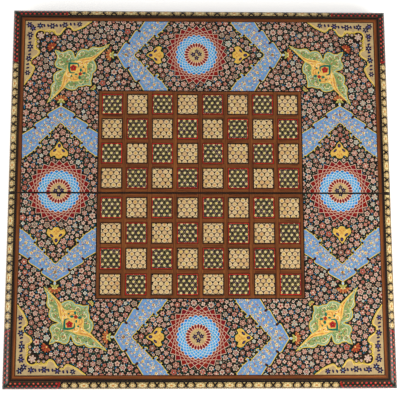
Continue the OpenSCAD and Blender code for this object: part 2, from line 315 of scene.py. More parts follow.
def rubbed_metal_group():
    """Fine scratches along one way and a dull film, for plated and polished metal."""
    tree, given, out = new_group(
        "rubbed metal",
        [PLACE, ("Bright", "colour", srgb(220, 190, 120)), ("Dull", "colour", srgb(130, 95, 50)),
         ("Roughness", "value", 0.25)],
        [("Color", "colour"), ("Roughness", "value"), ("Height", "value")])
    spots = noise(tree, given["Vector"], FILM_SPOTS, detail=4.0, roughness=0.65)
    film = spread(tree, spots, 0.42, 0.72)
    scratch = noise(tree, vector_maths(tree, "MULTIPLY", given["Vector"], SCRATCHES), detail=2.0)
    dulled = maths(tree, "MULTIPLY", film, 0.7)
    join(tree, mixed(tree, dulled, given["Bright"], given["Dull"]), out["Color"])
    rough = maths(tree, "MULTIPLY_ADD", film, 0.25, given["Roughness"])
    join(tree, maths(tree, "MULTIPLY_ADD", scratch, 0.12, rough), out["Roughness"])
    join(tree, scratch, out["Height"])
    return tree


WOOD_GRAIN = wood_grain_group()
MITRED_FRAME = mitre_group()
BRUSHWORK = brushwork_group()
LACQUER = lacquer_group()
WORN_EDGES = worn_edge_group()
ROD_ENDS = rod_ends_group()
RUBBED_METAL = rubbed_metal_group()


# Finishes

# How deep the grain, the brush marks, the rod ends and the scratches are
GRAIN_DEPTH = 0.00004
FINE_GRAIN_DEPTH = 0.00003
BRUSH_DEPTH = 0.00003
ROD_DEPTH = 0.00002
SLIVER_DEPTH = 0.00001
SCRATCH_DEPTH = 0.00001
# How far in an edge is rubbed, how much lighter the bare wood is, how much of it shows, how dull
WEAR_WIDTH = 0.0006
BARE_WOOD = 55
WEAR_SHARE = 0.55
WEAR_ROUGHNESS = 0.2


def new_finish(name, coat=0.0, coat_roughness=0.08, metallic=0.0, specular=0.15):
    """A new material. Gives it with its node tree, its shader and the place on the board in metres."""
    material = bpy.data.materials.new(name)
    material.use_nodes = True
    tree = material.node_tree
    shader = tree.nodes["Principled BSDF"].inputs
    shader["Metallic"].default_value = metallic
    shader["Coat Weight"].default_value = coat
    shader["Coat Roughness"].default_value = coat_roughness
    shader["Specular IOR Level"].default_value = specular
    return material, tree, shader, put(tree, "ShaderNodeTexCoord").outputs["Object"]


def surface(tree, shader, colour, roughness, height, depth):
    """Feeds the shader its colour and roughness, and presses a height into the surface."""
    join(tree, colour, shader["Base Color"])
    join(tree, roughness, shader["Roughness"])
    relief = put(tree, "ShaderNodeBump", {"Height": height, "Distance": depth})
    join(tree, relief.outputs[0], shader["Normal"])


def lacquered(tree, place, roughness, handling=0.5):
    """The roughness of a lacquer, smooth where it is untouched."""
    inputs = {"Vector": place, "Roughness": roughness, "Handling": handling}
    return use(tree, LACQUER, inputs)["Roughness"]


def grain(tree, place, pale, dark, figure, pores):
    """The colour and height of wood with its grain along X."""
    return use(tree, WOOD_GRAIN, {
        "Vector": place, "Pale": srgb(*pale), "Dark": srgb(*dark), "Figure": figure, "Pores": pores})


def along(tree, place, way):
    """Turns places so that the grain, which runs along X, runs the given way on the board."""
    if way == "frame":
        return use(tree, MITRED_FRAME, {"Vector": place})["Vector"]
    return crosswise(tree, place) if way == "y" else place


def wood(name, pale, dark, way, figure, pores=0.5, roughness=0.32, coat=0.6, bare=None):
    """Lacquered wood, with the bare wood showing where its edges are rubbed."""
    material, tree, shader, place = new_finish(name, coat, 0.1)
    timber = grain(tree, along(tree, place, way), pale, dark, figure, pores)
    wear = use(tree, WORN_EDGES, {"Vector": place, "Width": WEAR_WIDTH})["Wear"]
    light = srgb(*(bare or [min(255, tone + BARE_WOOD) for tone in pale]))
    colour = mixed(tree, maths(tree, "MULTIPLY", wear, WEAR_SHARE), timber["Color"], light)
    rough = maths(tree, "MULTIPLY_ADD", wear, WEAR_ROUGHNESS, lacquered(tree, place, roughness))
    surface(tree, shader, colour, rough, timber["Height"], GRAIN_DEPTH)
    return material


def rods(name, colour, joint, rod, contrast):
    """A ground of thin rods under lacquer."""
    material, tree, shader, place = new_finish(name, 0.3, 0.08)
    ends = use(tree, ROD_ENDS, {
        "Vector": place, "Color": srgb(*colour), "Joint": srgb(*joint), "Rod": rod,
        "Contrast": contrast})
    surface(tree, shader, ends["Color"], lacquered(tree, place, 0.26), ends["Height"], ROD_DEPTH)
    return material


def gouache(name, colour, unevenness, size):
    """Paint laid with a fine brush, under lacquer."""
    material, tree, shader, place = new_finish(name, 0.35, 0.1, specular=0.1)
    paint = use(tree, BRUSHWORK, {
        "Vector": place, "Color": srgb(*colour), "Unevenness": unevenness, "Size": size})
    rough = lacquered(tree, place, 0.34, 0.6)
    surface(tree, shader, paint["Color"], rough, paint["Height"], BRUSH_DEPTH)
    return material


def inlaid(name, colour):
    """A sliver of bone or stained wood in the mosaic, rubbed flat under lacquer."""
    material, tree, shader, place = new_finish(name, 0.3, 0.08)
    tone = use(tree, BRUSHWORK, {
        "Vector": place, "Color": srgb(*colour), "Unevenness": 0.2, "Size": 0.0016})
    surface(tree, shader, tone["Color"], lacquered(tree, place, 0.26), tone["Height"], SLIVER_DEPTH)
    return material


def metal(name, bright, dull, roughness):
    """Polished metal with a dull film and fine scratches."""
    material, tree, shader, place = new_finish(name, metallic=1.0)
    rubbed = use(tree, RUBBED_METAL, {
        "Vector": place, "Bright": srgb(*bright), "Dull": srgb(*dull), "Roughness": roughness})
    surface(tree, shader, rubbed["Color"], rubbed["Roughness"], rubbed["Height"], SCRATCH_DEPTH)
    return material


def off_strip(tree, distance):
    """How far a place is from the middle line of the nearest strip, one way across."""
    beyond = maths(tree, "MODULO", maths(tree, "ADD", distance, PITCH * MM / 2), PITCH * MM)
    return maths(tree, "ABSOLUTE", maths(tree, "SUBTRACT", beyond, PITCH * MM / 2))


# The strips darken between these distances from their middle lines
STRIP_CLEAN = 0.0017
STRIP_DARK = 0.0030


def crossed_strips():
    """The strips between the squares: grain along each strip, whichever way it runs."""
    material, tree, shader, place = new_finish("strip wood", 0.2, 0.1)
    x, y, _ = axes_of(tree, place)
    off_fold = maths(tree, "ABSOLUTE", y)
    off_upright = off_strip(tree, maths(tree, "ABSOLUTE", x))
    off_level = off_strip(tree, maths(tree, "SUBTRACT", off_fold, (CHESS_Y - CHESS_X) * MM))
    upright = maths(tree, "LESS_THAN", off_upright, (PITCH - TILE) * MM / 2)
    way = either(tree, upright, place, crosswise(tree, place))
    timber = grain(tree, way, (138, 80, 36), (90, 44, 18), 0.003, 0.5)
    nearest = maths(tree, "MINIMUM", off_upright, off_level)
    beside_squares = spread(tree, nearest, STRIP_CLEAN, STRIP_DARK, 0.0, 0.85)
    at_fold = spread(tree, off_fold, (FOLD + FOLD_BARE) * MM, (FOLD + 2 * FOLD_BARE) * MM, 0.9, 0.0)
    shade = maths(tree, "MAXIMUM", beside_squares, at_fold)
    colour = mixed(tree, shade, timber["Color"], srgb(22, 9, 5))
    surface(tree, shader, colour, lacquered(tree, place, 0.3), timber["Height"], FINE_GRAIN_DEPTH)
    return material


# The wood band darkens between these distances from its middle line: partly dark joints, partly painted
# shade that leaves a painted highlight along its middle
BAND_HIGHLIGHT_HALF = 0.0009
BAND_DARK = 0.0022


def banded_wood():
    """The wood band round the painting, darker toward the black lines on both sides of it: partly dark
    joints, partly painted shade that leaves a painted highlight along its middle.
    """
    material, tree, shader, place = new_finish("band wood", 0.25, 0.1)
    timber = grain(tree, along(tree, place, "frame"), (146, 82, 34), (92, 44, 14), 0.0016, 0.45)
    x, y, _ = axes_of(tree, place)
    out = maths(tree, "MAXIMUM", maths(tree, "ABSOLUTE", x), maths(tree, "ABSOLUTE", y))
    middle = (band_high.x + PAINT * MM) / 2
    off_middle = maths(tree, "ABSOLUTE", maths(tree, "SUBTRACT", out, middle))
    # Painted shade toward both edges of the band, partly dark joints, which leaves a painted highlight
    # along its middle
    shade = spread(tree, off_middle, BAND_HIGHLIGHT_HALF, BAND_DARK, 0.0, 0.75)
    colour = mixed(tree, shade, timber["Color"], srgb(40, 18, 8))
    surface(tree, shader, colour, lacquered(tree, place, 0.28), timber["Height"], FINE_GRAIN_DEPTH)
    return material


def dress(material, *names):
    """Gives pieces of the case, in both halves, their finish."""
    for name in names:
        for half in HALVES:
            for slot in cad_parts[f"{half}_{name}"].material_slots:
                slot.material = material


def dress_walls():
    """Walnut walls with the grain along each of them."""
    pale, dark, figure = (112, 62, 34), (58, 28, 15), 0.005
    dress(wood("wall wood along", pale, dark, "x", figure), "end_rail", "hinge_rail")
    dress(wood("wall wood across", pale, dark, "y", figure), "left_rail", "right_rail")


def dress_core():
    """The glued wood that the veneers cover."""
    dress(wood("plain ply", (196, 158, 112), (158, 118, 78), "x", 0.004, 0.4, 0.6, 0.0), "core_panel")
    dress(wood("moulding wood", (150, 108, 70), (110, 74, 44), "frame", 0.004, 0.4, 0.5, 0.1),
          "end_moulding", "left_moulding", "right_moulding")


def dress_lines():
    """The black and red lines and the bands of the face."""
    dress(wood("black wood", (38, 24, 14), (18, 11, 7), "frame", 0.002, 0.4, 0.26, 0.2, (70, 50, 36)),
          "fold_caps", "dark_band", "stringing", "fold_lip", "black_outlines")
    dress(wood("red wood", (198, 10, 14), (112, 8, 8), "frame", 0.009, 0.3, 0.26, 0.2, (210, 40, 34)),
          "red_outlines")
    dress(banded_wood(), "wood_band")
    dress(crossed_strips(), "grid_strips")


def dress_grounds():
    """The grounds of the star mosaic and of the painting."""
    dress(rods("edge mosaic ground", (172, 144, 92), (92, 70, 40), 0.0012, 0.4), "edge_mosaic")
    dress(rods("wall mosaic ground", (120, 92, 62), (60, 42, 30), 0.0010, 0.3), "wall_veneer")
    dress(rods("corner mosaic ground", (24, 36, 26), (14, 12, 12), 0.0012, 0.6), "corner_mosaic")
    dress(rods("light mosaic ground", (136, 110, 84), (88, 68, 56), 0.0009, 0.4), "light_squares")
    dress(rods("dark mosaic ground", (84, 72, 54), (40, 34, 28), 0.0010, 0.6), "dark_squares")
    dress(gouache("painted ground", (15, 14, 11), 0.3, 0.008), "painted_panel")


def dress_trays():
    """The lining and the light and dark points inside the two trays."""
    dress(wood("lining wood", (168, 112, 64), (126, 76, 40), "x", 0.008, 0.5, 0.36, 0.4), "lining")
    dress(wood("light points", (216, 178, 124), (184, 142, 92), "y", 0.004, 0.35, 0.34, 0.4),
          "light_points")
    dress(wood("dark points", (86, 46, 28), (48, 24, 16), "y", 0.004, 0.5, 0.34, 0.4), "dark_points")


def dress_metal():
    """Nickel magnets, and brass hinges with darker screws and pins."""
    dress(metal("nickel plate", (208, 204, 196), (150, 146, 140), 0.22), "magnets")
    dress(metal("hinge brass", (226, 184, 104), (150, 108, 56), 0.2), "hinge_leaves")
    dress(metal("screw brass", (214, 170, 92), (128, 90, 48), 0.26), "hinge_screws")
    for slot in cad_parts["hinge_pins"].material_slots:
        slot.material = metal("pin brass", (200, 160, 90), (110, 80, 44), 0.3)


# The painter's and the inlayer's tints

TINTS = {
    "dusty_pink": (188, 146, 126), "shell": (214, 186, 166), "salmon": (180, 118, 98),
    "umber_pink": (156, 106, 88), "brick": (150, 44, 36), "maroon": (84, 16, 18),
    "grey_white": (200, 196, 182), "sage": (118, 144, 126), "red": (172, 22, 22),
    "coral": (156, 58, 38), "cream": (240, 220, 172), "teal": (14, 104, 84),
    "leaf": (40, 58, 34), "umber": (40, 22, 14), "night": (20, 16, 62), "plum": (78, 62, 104),
    "band_blue": (106, 146, 194), "pale_blue": (150, 188, 214), "violet": (132, 126, 190),
    "gold": (214, 184, 80), "pale_gold": (230, 196, 112), "orange": (186, 100, 50),
    "leaf_gold": (212, 168, 78), "middle_gold": (224, 180, 90), "tan": (208, 150, 92),
    "beige": (180, 156, 114), "stone": (188, 162, 114), "oxblood": (122, 4, 6),
    "russet": (136, 48, 22), "star_blue": (22, 120, 192), "azure": (72, 156, 210),
    "aqua": (96, 172, 186), "line_white": (226, 190, 166), "cool_white": (228, 232, 226),
    "sea_green": (124, 146, 88), "pale_green": (184, 198, 150), "black": (12, 10, 8),
    "calyx": (172, 168, 84), "mist": (166, 196, 184),
}
# How uneven a tint is, and how large its uneven places are, where that isn't as usual
UNEVEN = {
    "band_blue": (0.45, 0.003), "star_blue": (0.6, 0.0035), "beige": (0.25, 0.006),
    "sea_green": (0.5, 0.004), "gold": (0.35, 0.003), "oxblood": (0.5, 0.004),
    "stone": (0.4, 0.005), "azure": (0.5, 0.0035), "leaf_gold": (0.35, 0.003),
    "middle_gold": (0.4, 0.003),
}
USUAL_UNEVENNESS = (0.22, 0.004)
RODS = {
    "bone": (222, 204, 152), "old_bone": (200, 172, 118), "peach": (204, 160, 104),
    "orange_rod": (196, 120, 48), "yellow_rod": (208, 184, 88), "dark_rod": (20, 14, 10),
    "green_rod": (34, 58, 32), "purple_rod": (70, 44, 58), "red_rod": (192, 46, 46),
    "grey_rod": (128, 116, 92), "brown_rod": (88, 54, 28), "rust_rod": (140, 22, 18),
    "mauve_rod": (158, 128, 128), "olive_rod": (118, 106, 62), "cell_bone": (220, 198, 152),
    "cell_old": (200, 168, 120), "star_bone": (218, 200, 138),
}


def tint_materials():
    """One material to a tint, and brass for the wires of the mosaic."""
    made = {}
    for name, colour in TINTS.items():
        made[name] = gouache(f"paint {name}", colour, *UNEVEN.get(name, USUAL_UNEVENNESS))
    for name, colour in RODS.items():
        made[name] = inlaid(f"mosaic {name}", colour)
    made["brass_wire"] = metal("mosaic brass", (214, 176, 92), (168, 128, 64), 0.3)
    return made


# Flat shapes and where they lie

# Shapes smaller than this, in square millimetres, aren't laid
SPECK = 0.002
# The bare rim of a tint's square on the map
MAP_RIM = 0.03
# An outline with no more corners than this is cut in one piece
FEW_CORNERS = 8
SHORTEST = 1e-9
SHARPEST_MITRE = 0.6


class Field:
    """A rectangle of the pattern, the half of the board that it is on, and where its points lie."""

    def __init__(self, half, low, high, lie):
        self.half = half
        self.low = np.array(low, float)
        self.high = np.array(high, float)
        self.lie = lie


def on_face(points, lift):
    """The pattern is drawn in place on the playing face."""
    return np.column_stack([points, FACE + lift])


def quarter_turn(points, side):
    """Points drawn for the front side, turned to another. Sides are front, right, rear and left."""
    cosine, sine = ((1, 0), (0, 1), (-1, 0), (0, -1))[side]
    return points @ np.array([[cosine, sine], [-sine, cosine]], float)


def on_moulding(side):
    """The pattern runs along the moulding, and from the face outwards and down round it."""
    def lie(points, lift):
        turn = points[:, 1] / ROUND_RADIUS
        radius = ROUND_RADIUS + lift
        out = ROUND_START + radius * np.sin(turn)
        up = ROUND_MIDDLE + radius * np.cos(turn)
        return np.column_stack([quarter_turn(np.column_stack([points[:, 0], -out]), side), up])
    return lie


def on_wall(side):
    """The pattern runs along the wall, and down from the moulding."""
    def lie(points, lift):
        flat = quarter_turn(np.column_stack([points[:, 0], -(CASE + lift)]), side)
        return np.column_stack([flat, WALL_HIGH - points[:, 1]])
    return lie


def painted_fields():
    """The painting without the chess field: two side strips and an end strip in each half."""
    fields = []
    for half, sign in zip(HALVES, (-1, 1)):
        near, far = sorted((sign * (FOLD + FOLD_BARE), sign * PAINT))
        end_near, end_far = sorted((sign * CHESS_Y, sign * PAINT))
        fields.append(Field(half, (-PAINT, near), (-CHESS_X, far), on_face))
        fields.append(Field(half, (CHESS_X, near), (PAINT, far), on_face))
        fields.append(Field(half, (-CHESS_X, end_near), (CHESS_X, end_far), on_face))
    return fields


PAINTED = painted_fields()


def cut(outline, low, high):
    """What a rectangle keeps of an outline, or None."""
    for axis, limit, sign in ((0, low[0], 1), (1, low[1], 1), (0, high[0], -1), (1, high[1], -1)):
        room = sign * (outline[:, axis] - limit)
        if room.min() >= 0:
            continue
        kept = []
        for k in range(len(outline)):
            here, there = outline[k - 1], outline[k]
            room_here, room_there = room[k - 1], room[k]
            if room_here * room_there < 0:
                kept.append(here + (there - here) * room_here / (room_here - room_there))
            if room_there >= 0:
                kept.append(there)
        if len(kept) < 3:
            return None
        outline = np.array(kept)
    return outline


def area(outline):
    x, y = outline[:, 0], outline[:, 1]
    return 0.5 * float(np.dot(x, np.roll(y, -1)) - np.dot(y, np.roll(x, -1)))


def simple(outline):
    """An outline as pieces that a cut can't spoil: itself if it has few corners, or triangles."""
    if len(outline) <= FEW_CORNERS:
        return [outline]
    corners = [Vector((x, y, 0)) for x, y in outline]
    made = []
    for triangle in tessellate_polygon([corners]):
        piece = outline[list(triangle)]
        made.append(piece if area(piece) > 0 else piece[::-1])
    return made


class Inlay:
    """Flat shapes of one trade, cut where their fields end. They become one piece on each half."""

    def __init__(self, name, slot):
        self.name = name
        self.slot = slot
        self.parts = {half: [] for half in HALVES}

    def lay(self, outline, tint, level, fields=None):
        """Lays a shape at a level, in every field that it reaches."""
        outline = np.asarray(outline, float)
        size = area(outline)
        if abs(size) < SPECK:
            return
        if size < 0:
            outline = outline[::-1]
        low, high = outline.min(0), outline.max(0)
        for field in fields or PAINTED:
            if (low >= field.high).any() or (high <= field.low).any():
                continue
            if (low >= field.low).all() and (high <= field.high).all():
                self.parts[field.half].append((outline, tint, level, field))
                continue
            for piece in simple(outline):
                kept = cut(piece, field.low, field.high)
                if kept is not None and area(kept) > SPECK:
                    self.parts[field.half].append((kept, tint, level, field))

    def lay_all(self, outlines, tint, level, fields=None):
        """Lays shapes of one tint, such as petals or the pieces of a brush line."""
        for outline in outlines:
            self.lay(outline, tint, level, fields)

    def build(self, materials):
        """Makes the two pieces, and has them ride on the halves."""
        for half in HALVES:
            if self.parts[half]:
                piece = self.mesh(f"{half}_{self.name}", self.parts[half], materials)
                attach(piece, f"{half}_half")

    def mesh(self, name, parts, materials):
        """One piece with a face to a shape and a material to a tint."""
        outlines, part_tints, levels, fields = zip(*parts)
        sizes = [len(outline) for outline in outlines]
        flat = np.concatenate(outlines)
        lifts = np.repeat([level * LIFT for level in levels], sizes)
        owners = np.repeat([id(field) for field in fields], sizes)
        points = np.zeros((len(flat), 3))
        for field in {id(field): field for field in fields}.values():
            mine = owners == id(field)
            points[mine] = field.lie(flat[mine], lifts[mine])
        faces = [range(end - size, end) for end, size in zip(np.cumsum(sizes), sizes)]
        data = bpy.data.meshes.new(name)
        data.from_pydata((points * MM).tolist(), [], faces)
        tints = sorted(set(part_tints))
        for tint in tints:
            data.materials.append(materials[tint])
        numbers = np.array([tints.index(tint) for tint in part_tints], np.int32)
        data.polygons.foreach_set("material_index", numbers)
        self.lay_out(data, flat, np.repeat(numbers, sizes), len(tints))
        piece = bpy.data.objects.new(name, data)
        bpy.context.scene.collection.objects.link(piece)
        return piece

    def lay_out(self, data, flat, tint_numbers, count):
        """A map with a square for each tint, on which the shapes lie as on the board."""
        across = math.ceil(math.sqrt(count))
        low, high = flat.min(0), flat.max(0)
        inner = MAP_RIM + (1 - 2 * MAP_RIM) * (flat - low) / (high - low)
        squares = np.column_stack([tint_numbers % across, tint_numbers // across])
        layer = data.uv_layers.new(name="OFBake", do_init=False)
        layer.uv.foreach_set("vector", ((squares + inner) / across).astype(np.float32).ravel())


# Outlines


def away(x, y, distance, turn):
    """The point at a distance from a place, the way that the turn says."""
    return x + distance * math.cos(turn), y + distance * math.sin(turn)


def moved(points, x, y, angle, scale=1.0):
    """Points drawn round the origin, set down at a place."""
    cosine, sine = math.cos(angle), math.sin(angle)
    return np.asarray(points, float) * scale @ np.array([[cosine, sine], [-sine, cosine]]) + (x, y)


def bar(low, high, start, end):
    """A rectangle between two places one way and two the other."""
    return [(low, start), (high, start), (high, end), (low, end)]


def oval(x, y, long, short=None, angle=0.0, corners=10):
    """An oval by its half axes."""
    turn = np.arange(corners) * TAU / corners
    return moved(np.column_stack([long * np.cos(turn), (short or long) * np.sin(turn)]), x, y, angle)


def star(x, y, long, short, points, dent, angle=0.0):
    """A star as wide and as high as its half axes say."""
    turn = np.arange(2 * points) * math.pi / points
    reach = np.where(np.arange(2 * points) % 2 == 0, 1.0, dent)
    outline = np.column_stack([long * reach * np.cos(turn), short * reach * np.sin(turn)])
    return moved(outline, x, y, angle)


LEAF = ((-0.5, 0), (-0.2, -0.42), (0.125, -0.5), (0.5, 0), (0.125, 0.5), (-0.2, 0.42))


def leaf(x, y, length, width, angle):
    """A pointed leaf with its middle at the place."""
    return moved(np.array(LEAF) * (length, width), x, y, angle)


def ring(x, y, outer, inner, corners):
    """A ring as four-cornered pieces."""
    turn = np.linspace(0, TAU, corners + 1)
    way = np.column_stack([np.cos(turn), np.sin(turn)])
    edge_in, edge_out = inner * way + (x, y), outer * way + (x, y)
    return [np.array([edge_in[k], edge_out[k], edge_out[k + 1], edge_in[k + 1]]) for k in range(corners)]


def flowing(points, closed=True, steps=5):
    """A smooth line through the points. A point given twice is a sharp corner."""
    points = np.asarray(points, float)
    count = len(points)
    share = np.arange(steps)[:, None] / steps
    made = []
    for k in range(count if closed else count - 1):
        near = range(k - 1, k + 3)
        near = [n % count if closed else min(max(n, 0), count - 1) for n in near]
        before, start, end, after = points[near]
        if np.allclose(start, end):
            continue
        bend = 2 * before - 5 * start + 4 * end - after
        twist = 3 * start - before - 3 * end + after
        made.append(0.5 * (2 * start + (end - before) * share + bend * share**2 + twist * share**3))
    if not closed:
        made.append(points[-1:])
    return np.concatenate(made)


def unit(ways):
    """Ways with a length of one."""
    return ways / np.maximum(np.linalg.norm(ways, axis=1, keepdims=True), SHORTEST)


def stroke(line, width, closed=False):
    """A brush line: four-cornered pieces, mitred where they meet. The width may change along it."""
    line = np.asarray(line, float)
    widths = np.broadcast_to(np.asarray(width, float), len(line))[:, None]
    ahead = unit(np.roll(line, -1, 0) - line)
    if not closed:
        ahead[-1] = ahead[-2]
    behind = np.roll(ahead, 1, 0)
    if not closed:
        behind[0] = ahead[0]
    middle = unit(ahead + behind)
    bend = np.maximum((middle * ahead).sum(1, keepdims=True), SHARPEST_MITRE)
    side = np.column_stack([-middle[:, 1], middle[:, 0]]) * widths / 2 / bend
    left, right = line + side, line - side
    count = len(line) if closed else len(line) - 1
    following = [(k + 1) % len(line) for k in range(count)]
    return [np.array([left[k], right[k], right[n], left[n]]) for k, n in enumerate(following)]


def mirrored(points):
    """An outline from its upper half, which runs from one end of the X axis to the other."""
    points = np.asarray(points, float)
    return np.concatenate([points, points[::-1] * (1, -1)])


def inset(outline, depth):
    """A closed outline drawn in by a small depth. It runs anticlockwise."""
    ahead = unit(np.roll(outline, -1, 0) - outline)
    middle = unit(ahead + np.roll(ahead, 1, 0))
    return outline + np.column_stack([-middle[:, 1], middle[:, 0]]) * depth


def inside(closed, x, y, margin):
    """Whether a point lies in a closed outline, and further than the margin from its corners."""
    here, there = closed[:-1], closed[1:]
    spans = (here[:, 1] > y) != (there[:, 1] > y)
    rise = np.where(spans, there[:, 1] - here[:, 1], 1.0)
    where = here[:, 0] + (y - here[:, 1]) * (there[:, 0] - here[:, 0]) / rise
    if np.count_nonzero(spans & (x < where)) % 2 == 0:
        return False
    return np.linalg.norm(here - (x, y), axis=1).min() > margin


# Flowers

POSIES = (  # first and second petals, heart, eye and the spot in it
    ("dusty_pink", "shell", "brick", "maroon", "grey_white"),
    ("shell", "dusty_pink", "brick", "red", "grey_white"),
    ("grey_white", "dusty_pink", "sage", "brick", "shell"),
    ("dusty_pink", "salmon", "maroon", "red", "shell"),
    ("shell", "grey_white", "maroon", "grey_white", "red"),
    ("umber_pink", "shell", "red", "grey_white", "maroon"),
    ("shell", "grey_white", "salmon", "teal", "brick"),
    ("umber_pink", "dusty_pink", "maroon", "salmon", "grey_white"),
    ("dusty_pink", "shell", "teal", "shell", "maroon"),
    ("salmon", "shell", "brick", "grey_white", "shell"),
    ("dusty_pink", "umber_pink", "shell", "maroon", "red"),
)
# The shaded ground that shows between the petals, as a share of the flower's radius
FLOWER_GROUND = 0.72
# A petal is no wider than this share of its length
WIDEST_PETAL = 1.15
# Large flowers with five petals, six or eight
LARGE_FLOWER_PETALS = (5, 6, 6, 8)
SMALL_FLOWER_PETALS = (4, 5, 5)
# The leaves of a bud stand off its axis by this much
BUD_LEAF_TURN = 2.2


def petals(x, y, near, far, count, angle, share=0.97, corners=8):
    """Ovals round a middle, as wide as the given share of the room between their neighbours."""
    half = (far - near) / 2
    middle = (far + near) / 2
    wide = math.tan(math.pi / count) * math.sqrt(middle**2 - half**2) * share
    made = []
    for k in range(count):
        turn = angle + k * TAU / count
        spot = away(x, y, middle, turn)
        made.append(oval(*spot, half, min(wide, half * WIDEST_PETAL), turn, corners))
    return made


def large_flower(art, x, y, radius, chance):
    """A double flower: two tints of petal in turn, a darker heart in each, and a ringed eye."""
    first, second, heart, eye, dot = chance.choice(POSIES)
    count = chance.choice(LARGE_FLOWER_PETALS)
    angle = chance.uniform(0, TAU)
    art.lay(oval(x, y, radius * FLOWER_GROUND, corners=9), "umber_pink", 1.5)
    for k, petal in enumerate(petals(x, y, radius * 0.26, radius, count, angle)):
        art.lay(petal, second if count % 2 == 0 and k % 2 else first, 2)
    art.lay_all(petals(x, y, radius * 0.3, radius * 0.7, count, angle, 0.6, 6), heart, 3)
    art.lay(oval(x, y, radius * 0.3, corners=8), dot, 4)
    art.lay(oval(x, y, radius * 0.16, corners=6), eye, 5)


def small_flower(art, x, y, radius, chance):
    """A single flower of four or five petals with an eye."""
    first, _, heart, _, dot = chance.choice(POSIES)
    count = chance.choice(SMALL_FLOWER_PETALS)
    art.lay(oval(x, y, radius * FLOWER_GROUND, corners=8), "umber_pink", 1.5)
    angle = chance.uniform(0, TAU)
    art.lay_all(petals(x, y, radius * 0.2, radius, count, angle, corners=7), first, 2)
    art.lay(oval(x, y, radius * 0.38, corners=6), heart, 3)
    art.lay(oval(x, y, radius * 0.18, corners=5), dot, 4)


def bud(art, x, y, radius, chance):
    """A closed bud between two leaves."""
    first, _, heart, _, _ = chance.choice(POSIES)
    angle = chance.uniform(0, TAU)
    husk, tip = away(x, y, radius * 0.3, angle), away(x, y, radius * 0.5, angle)
    art.lay(oval(*husk, radius * 0.7, radius * 0.5, angle, 7), first, 2)
    art.lay(oval(*tip, radius * 0.35, radius * 0.22, angle, 6), heart, 3)
    for sign in (-1, 1):
        way = angle + sign * BUD_LEAF_TURN
        art.lay(leaf(*away(x, y, radius * 0.6, way), radius * 1.1, radius * 0.5, way), "teal", 1)


# The flower ground


def overlap(step, size):
    """The parts of a row that meet when it moves by a step: where they come to, and from."""
    return slice(max(step, 0), size + min(step, 0)), slice(max(-step, 0), size + min(-step, 0))


class Bed:
    """What is already taken on the painting, on a grid of small cells."""

    CELL = 0.5
    RIM = 6
    CHESS_OVERLAP = 3
    SEEDS = 70

    def __init__(self):
        self.count = int(2 * (PAINT + self.RIM) / self.CELL)
        self.discs = {}
        middles = np.abs(self.middle(np.arange(self.count)))
        wide = middles < CHESS_X - self.CHESS_OVERLAP
        deep = middles < CHESS_Y - self.CHESS_OVERLAP
        self.taken = deep[:, None] & wide[None]

    def cell(self, place):
        """The number of the cell on which a place falls, in a row or a column."""
        return int((place + PAINT + self.RIM) / self.CELL)

    def middle(self, number):
        """Where the middle of a cell lies."""
        return (number + 0.5) * self.CELL - PAINT - self.RIM

    def disc(self, radius):
        """A disc of cells and how many of them it reaches. Each size is made once."""
        if radius not in self.discs:
            reach = math.ceil(radius / self.CELL)
            span = np.arange(-reach, reach + 1) * self.CELL
            self.discs[radius] = reach, span[:, None] ** 2 + span[None] ** 2 <= radius**2
        return self.discs[radius]

    def take(self, x, y, radius):
        """Takes a disc, unless it reaches over the rim of the grid."""
        reach, disc = self.disc(radius)
        column, row = self.cell(x), self.cell(y)
        if min(column, row) >= reach and max(column, row) < self.count - reach:
            self.taken[row - reach:row + reach + 1, column - reach:column + reach + 1] |= disc

    def fill(self, outline, margin):
        """Takes the inside of an outline, and a margin round it."""
        low, high = outline.min(0), outline.max(0)
        left, bottom = max(self.cell(low[0]), 0), max(self.cell(low[1]), 0)
        right = min(self.cell(high[0]) + 1, self.count)
        top = min(self.cell(high[1]) + 1, self.count)
        xs, ys = self.middle(np.arange(left, right)), self.middle(np.arange(bottom, top))
        within = np.zeros((len(ys), len(xs)), bool)
        for here, there in zip(outline, np.roll(outline, -1, 0)):
            crosses = (here[1] > ys) != (there[1] > ys)
            if crosses.any():
                rise = (ys[crosses] - here[1]) * (there[0] - here[0]) / (there[1] - here[1])
                within[crosses] ^= xs[None] < (here[0] + rise)[:, None]
            for share in np.arange(0, 1, 1 / (1 + np.linalg.norm(there - here))):
                self.take(*(here + (there - here) * share), margin)
        self.taken[bottom:top, left:right] |= within

    def blocked(self, radius):
        """The cells on which the middle of a disc of the radius can't lie."""
        reach, disc = self.disc(radius)
        blocked = np.ones_like(self.taken)
        blocked[reach:-reach, reach:-reach] = self.taken[reach:-reach, reach:-reach]
        for up, across in np.argwhere(disc) - reach:
            rows, rows_from = overlap(up, self.count)
            columns, columns_from = overlap(across, self.count)
            blocked[rows, columns] |= self.taken[rows_from, columns_from]
        return blocked

    def places(self, radius, gap, share, chance):
        """Places where a disc of the radius is free, grown outwards from scattered seeds."""
        blocked = self.blocked(radius + gap)
        rows, columns = np.nonzero(~blocked)
        if not len(rows):
            return
        seeds = [(chance.uniform(0, self.count), chance.uniform(0, self.count))
                 for _ in range(self.SEEDS)]
        spots = np.column_stack([rows, columns]).astype(float)
        off_seeds = np.min([((spots - seed) ** 2).sum(1) for seed in np.array(seeds)], 0)
        far, disc = self.disc(2 * radius + gap)
        for k in np.argsort(off_seeds, kind="stable"):
            row, column = rows[k], columns[k]
            if blocked[row, column]:
                continue
            low, left = max(row - far, 0), max(column - far, 0)
            near = blocked[low:row + far + 1, left:column + far + 1]
            first_row, first_column = low - row + far, left - column + far
            near |= disc[first_row:first_row + near.shape[0], first_column:first_column + near.shape[1]]
            if chance.random() < share:
                yield self.middle(column), self.middle(row)


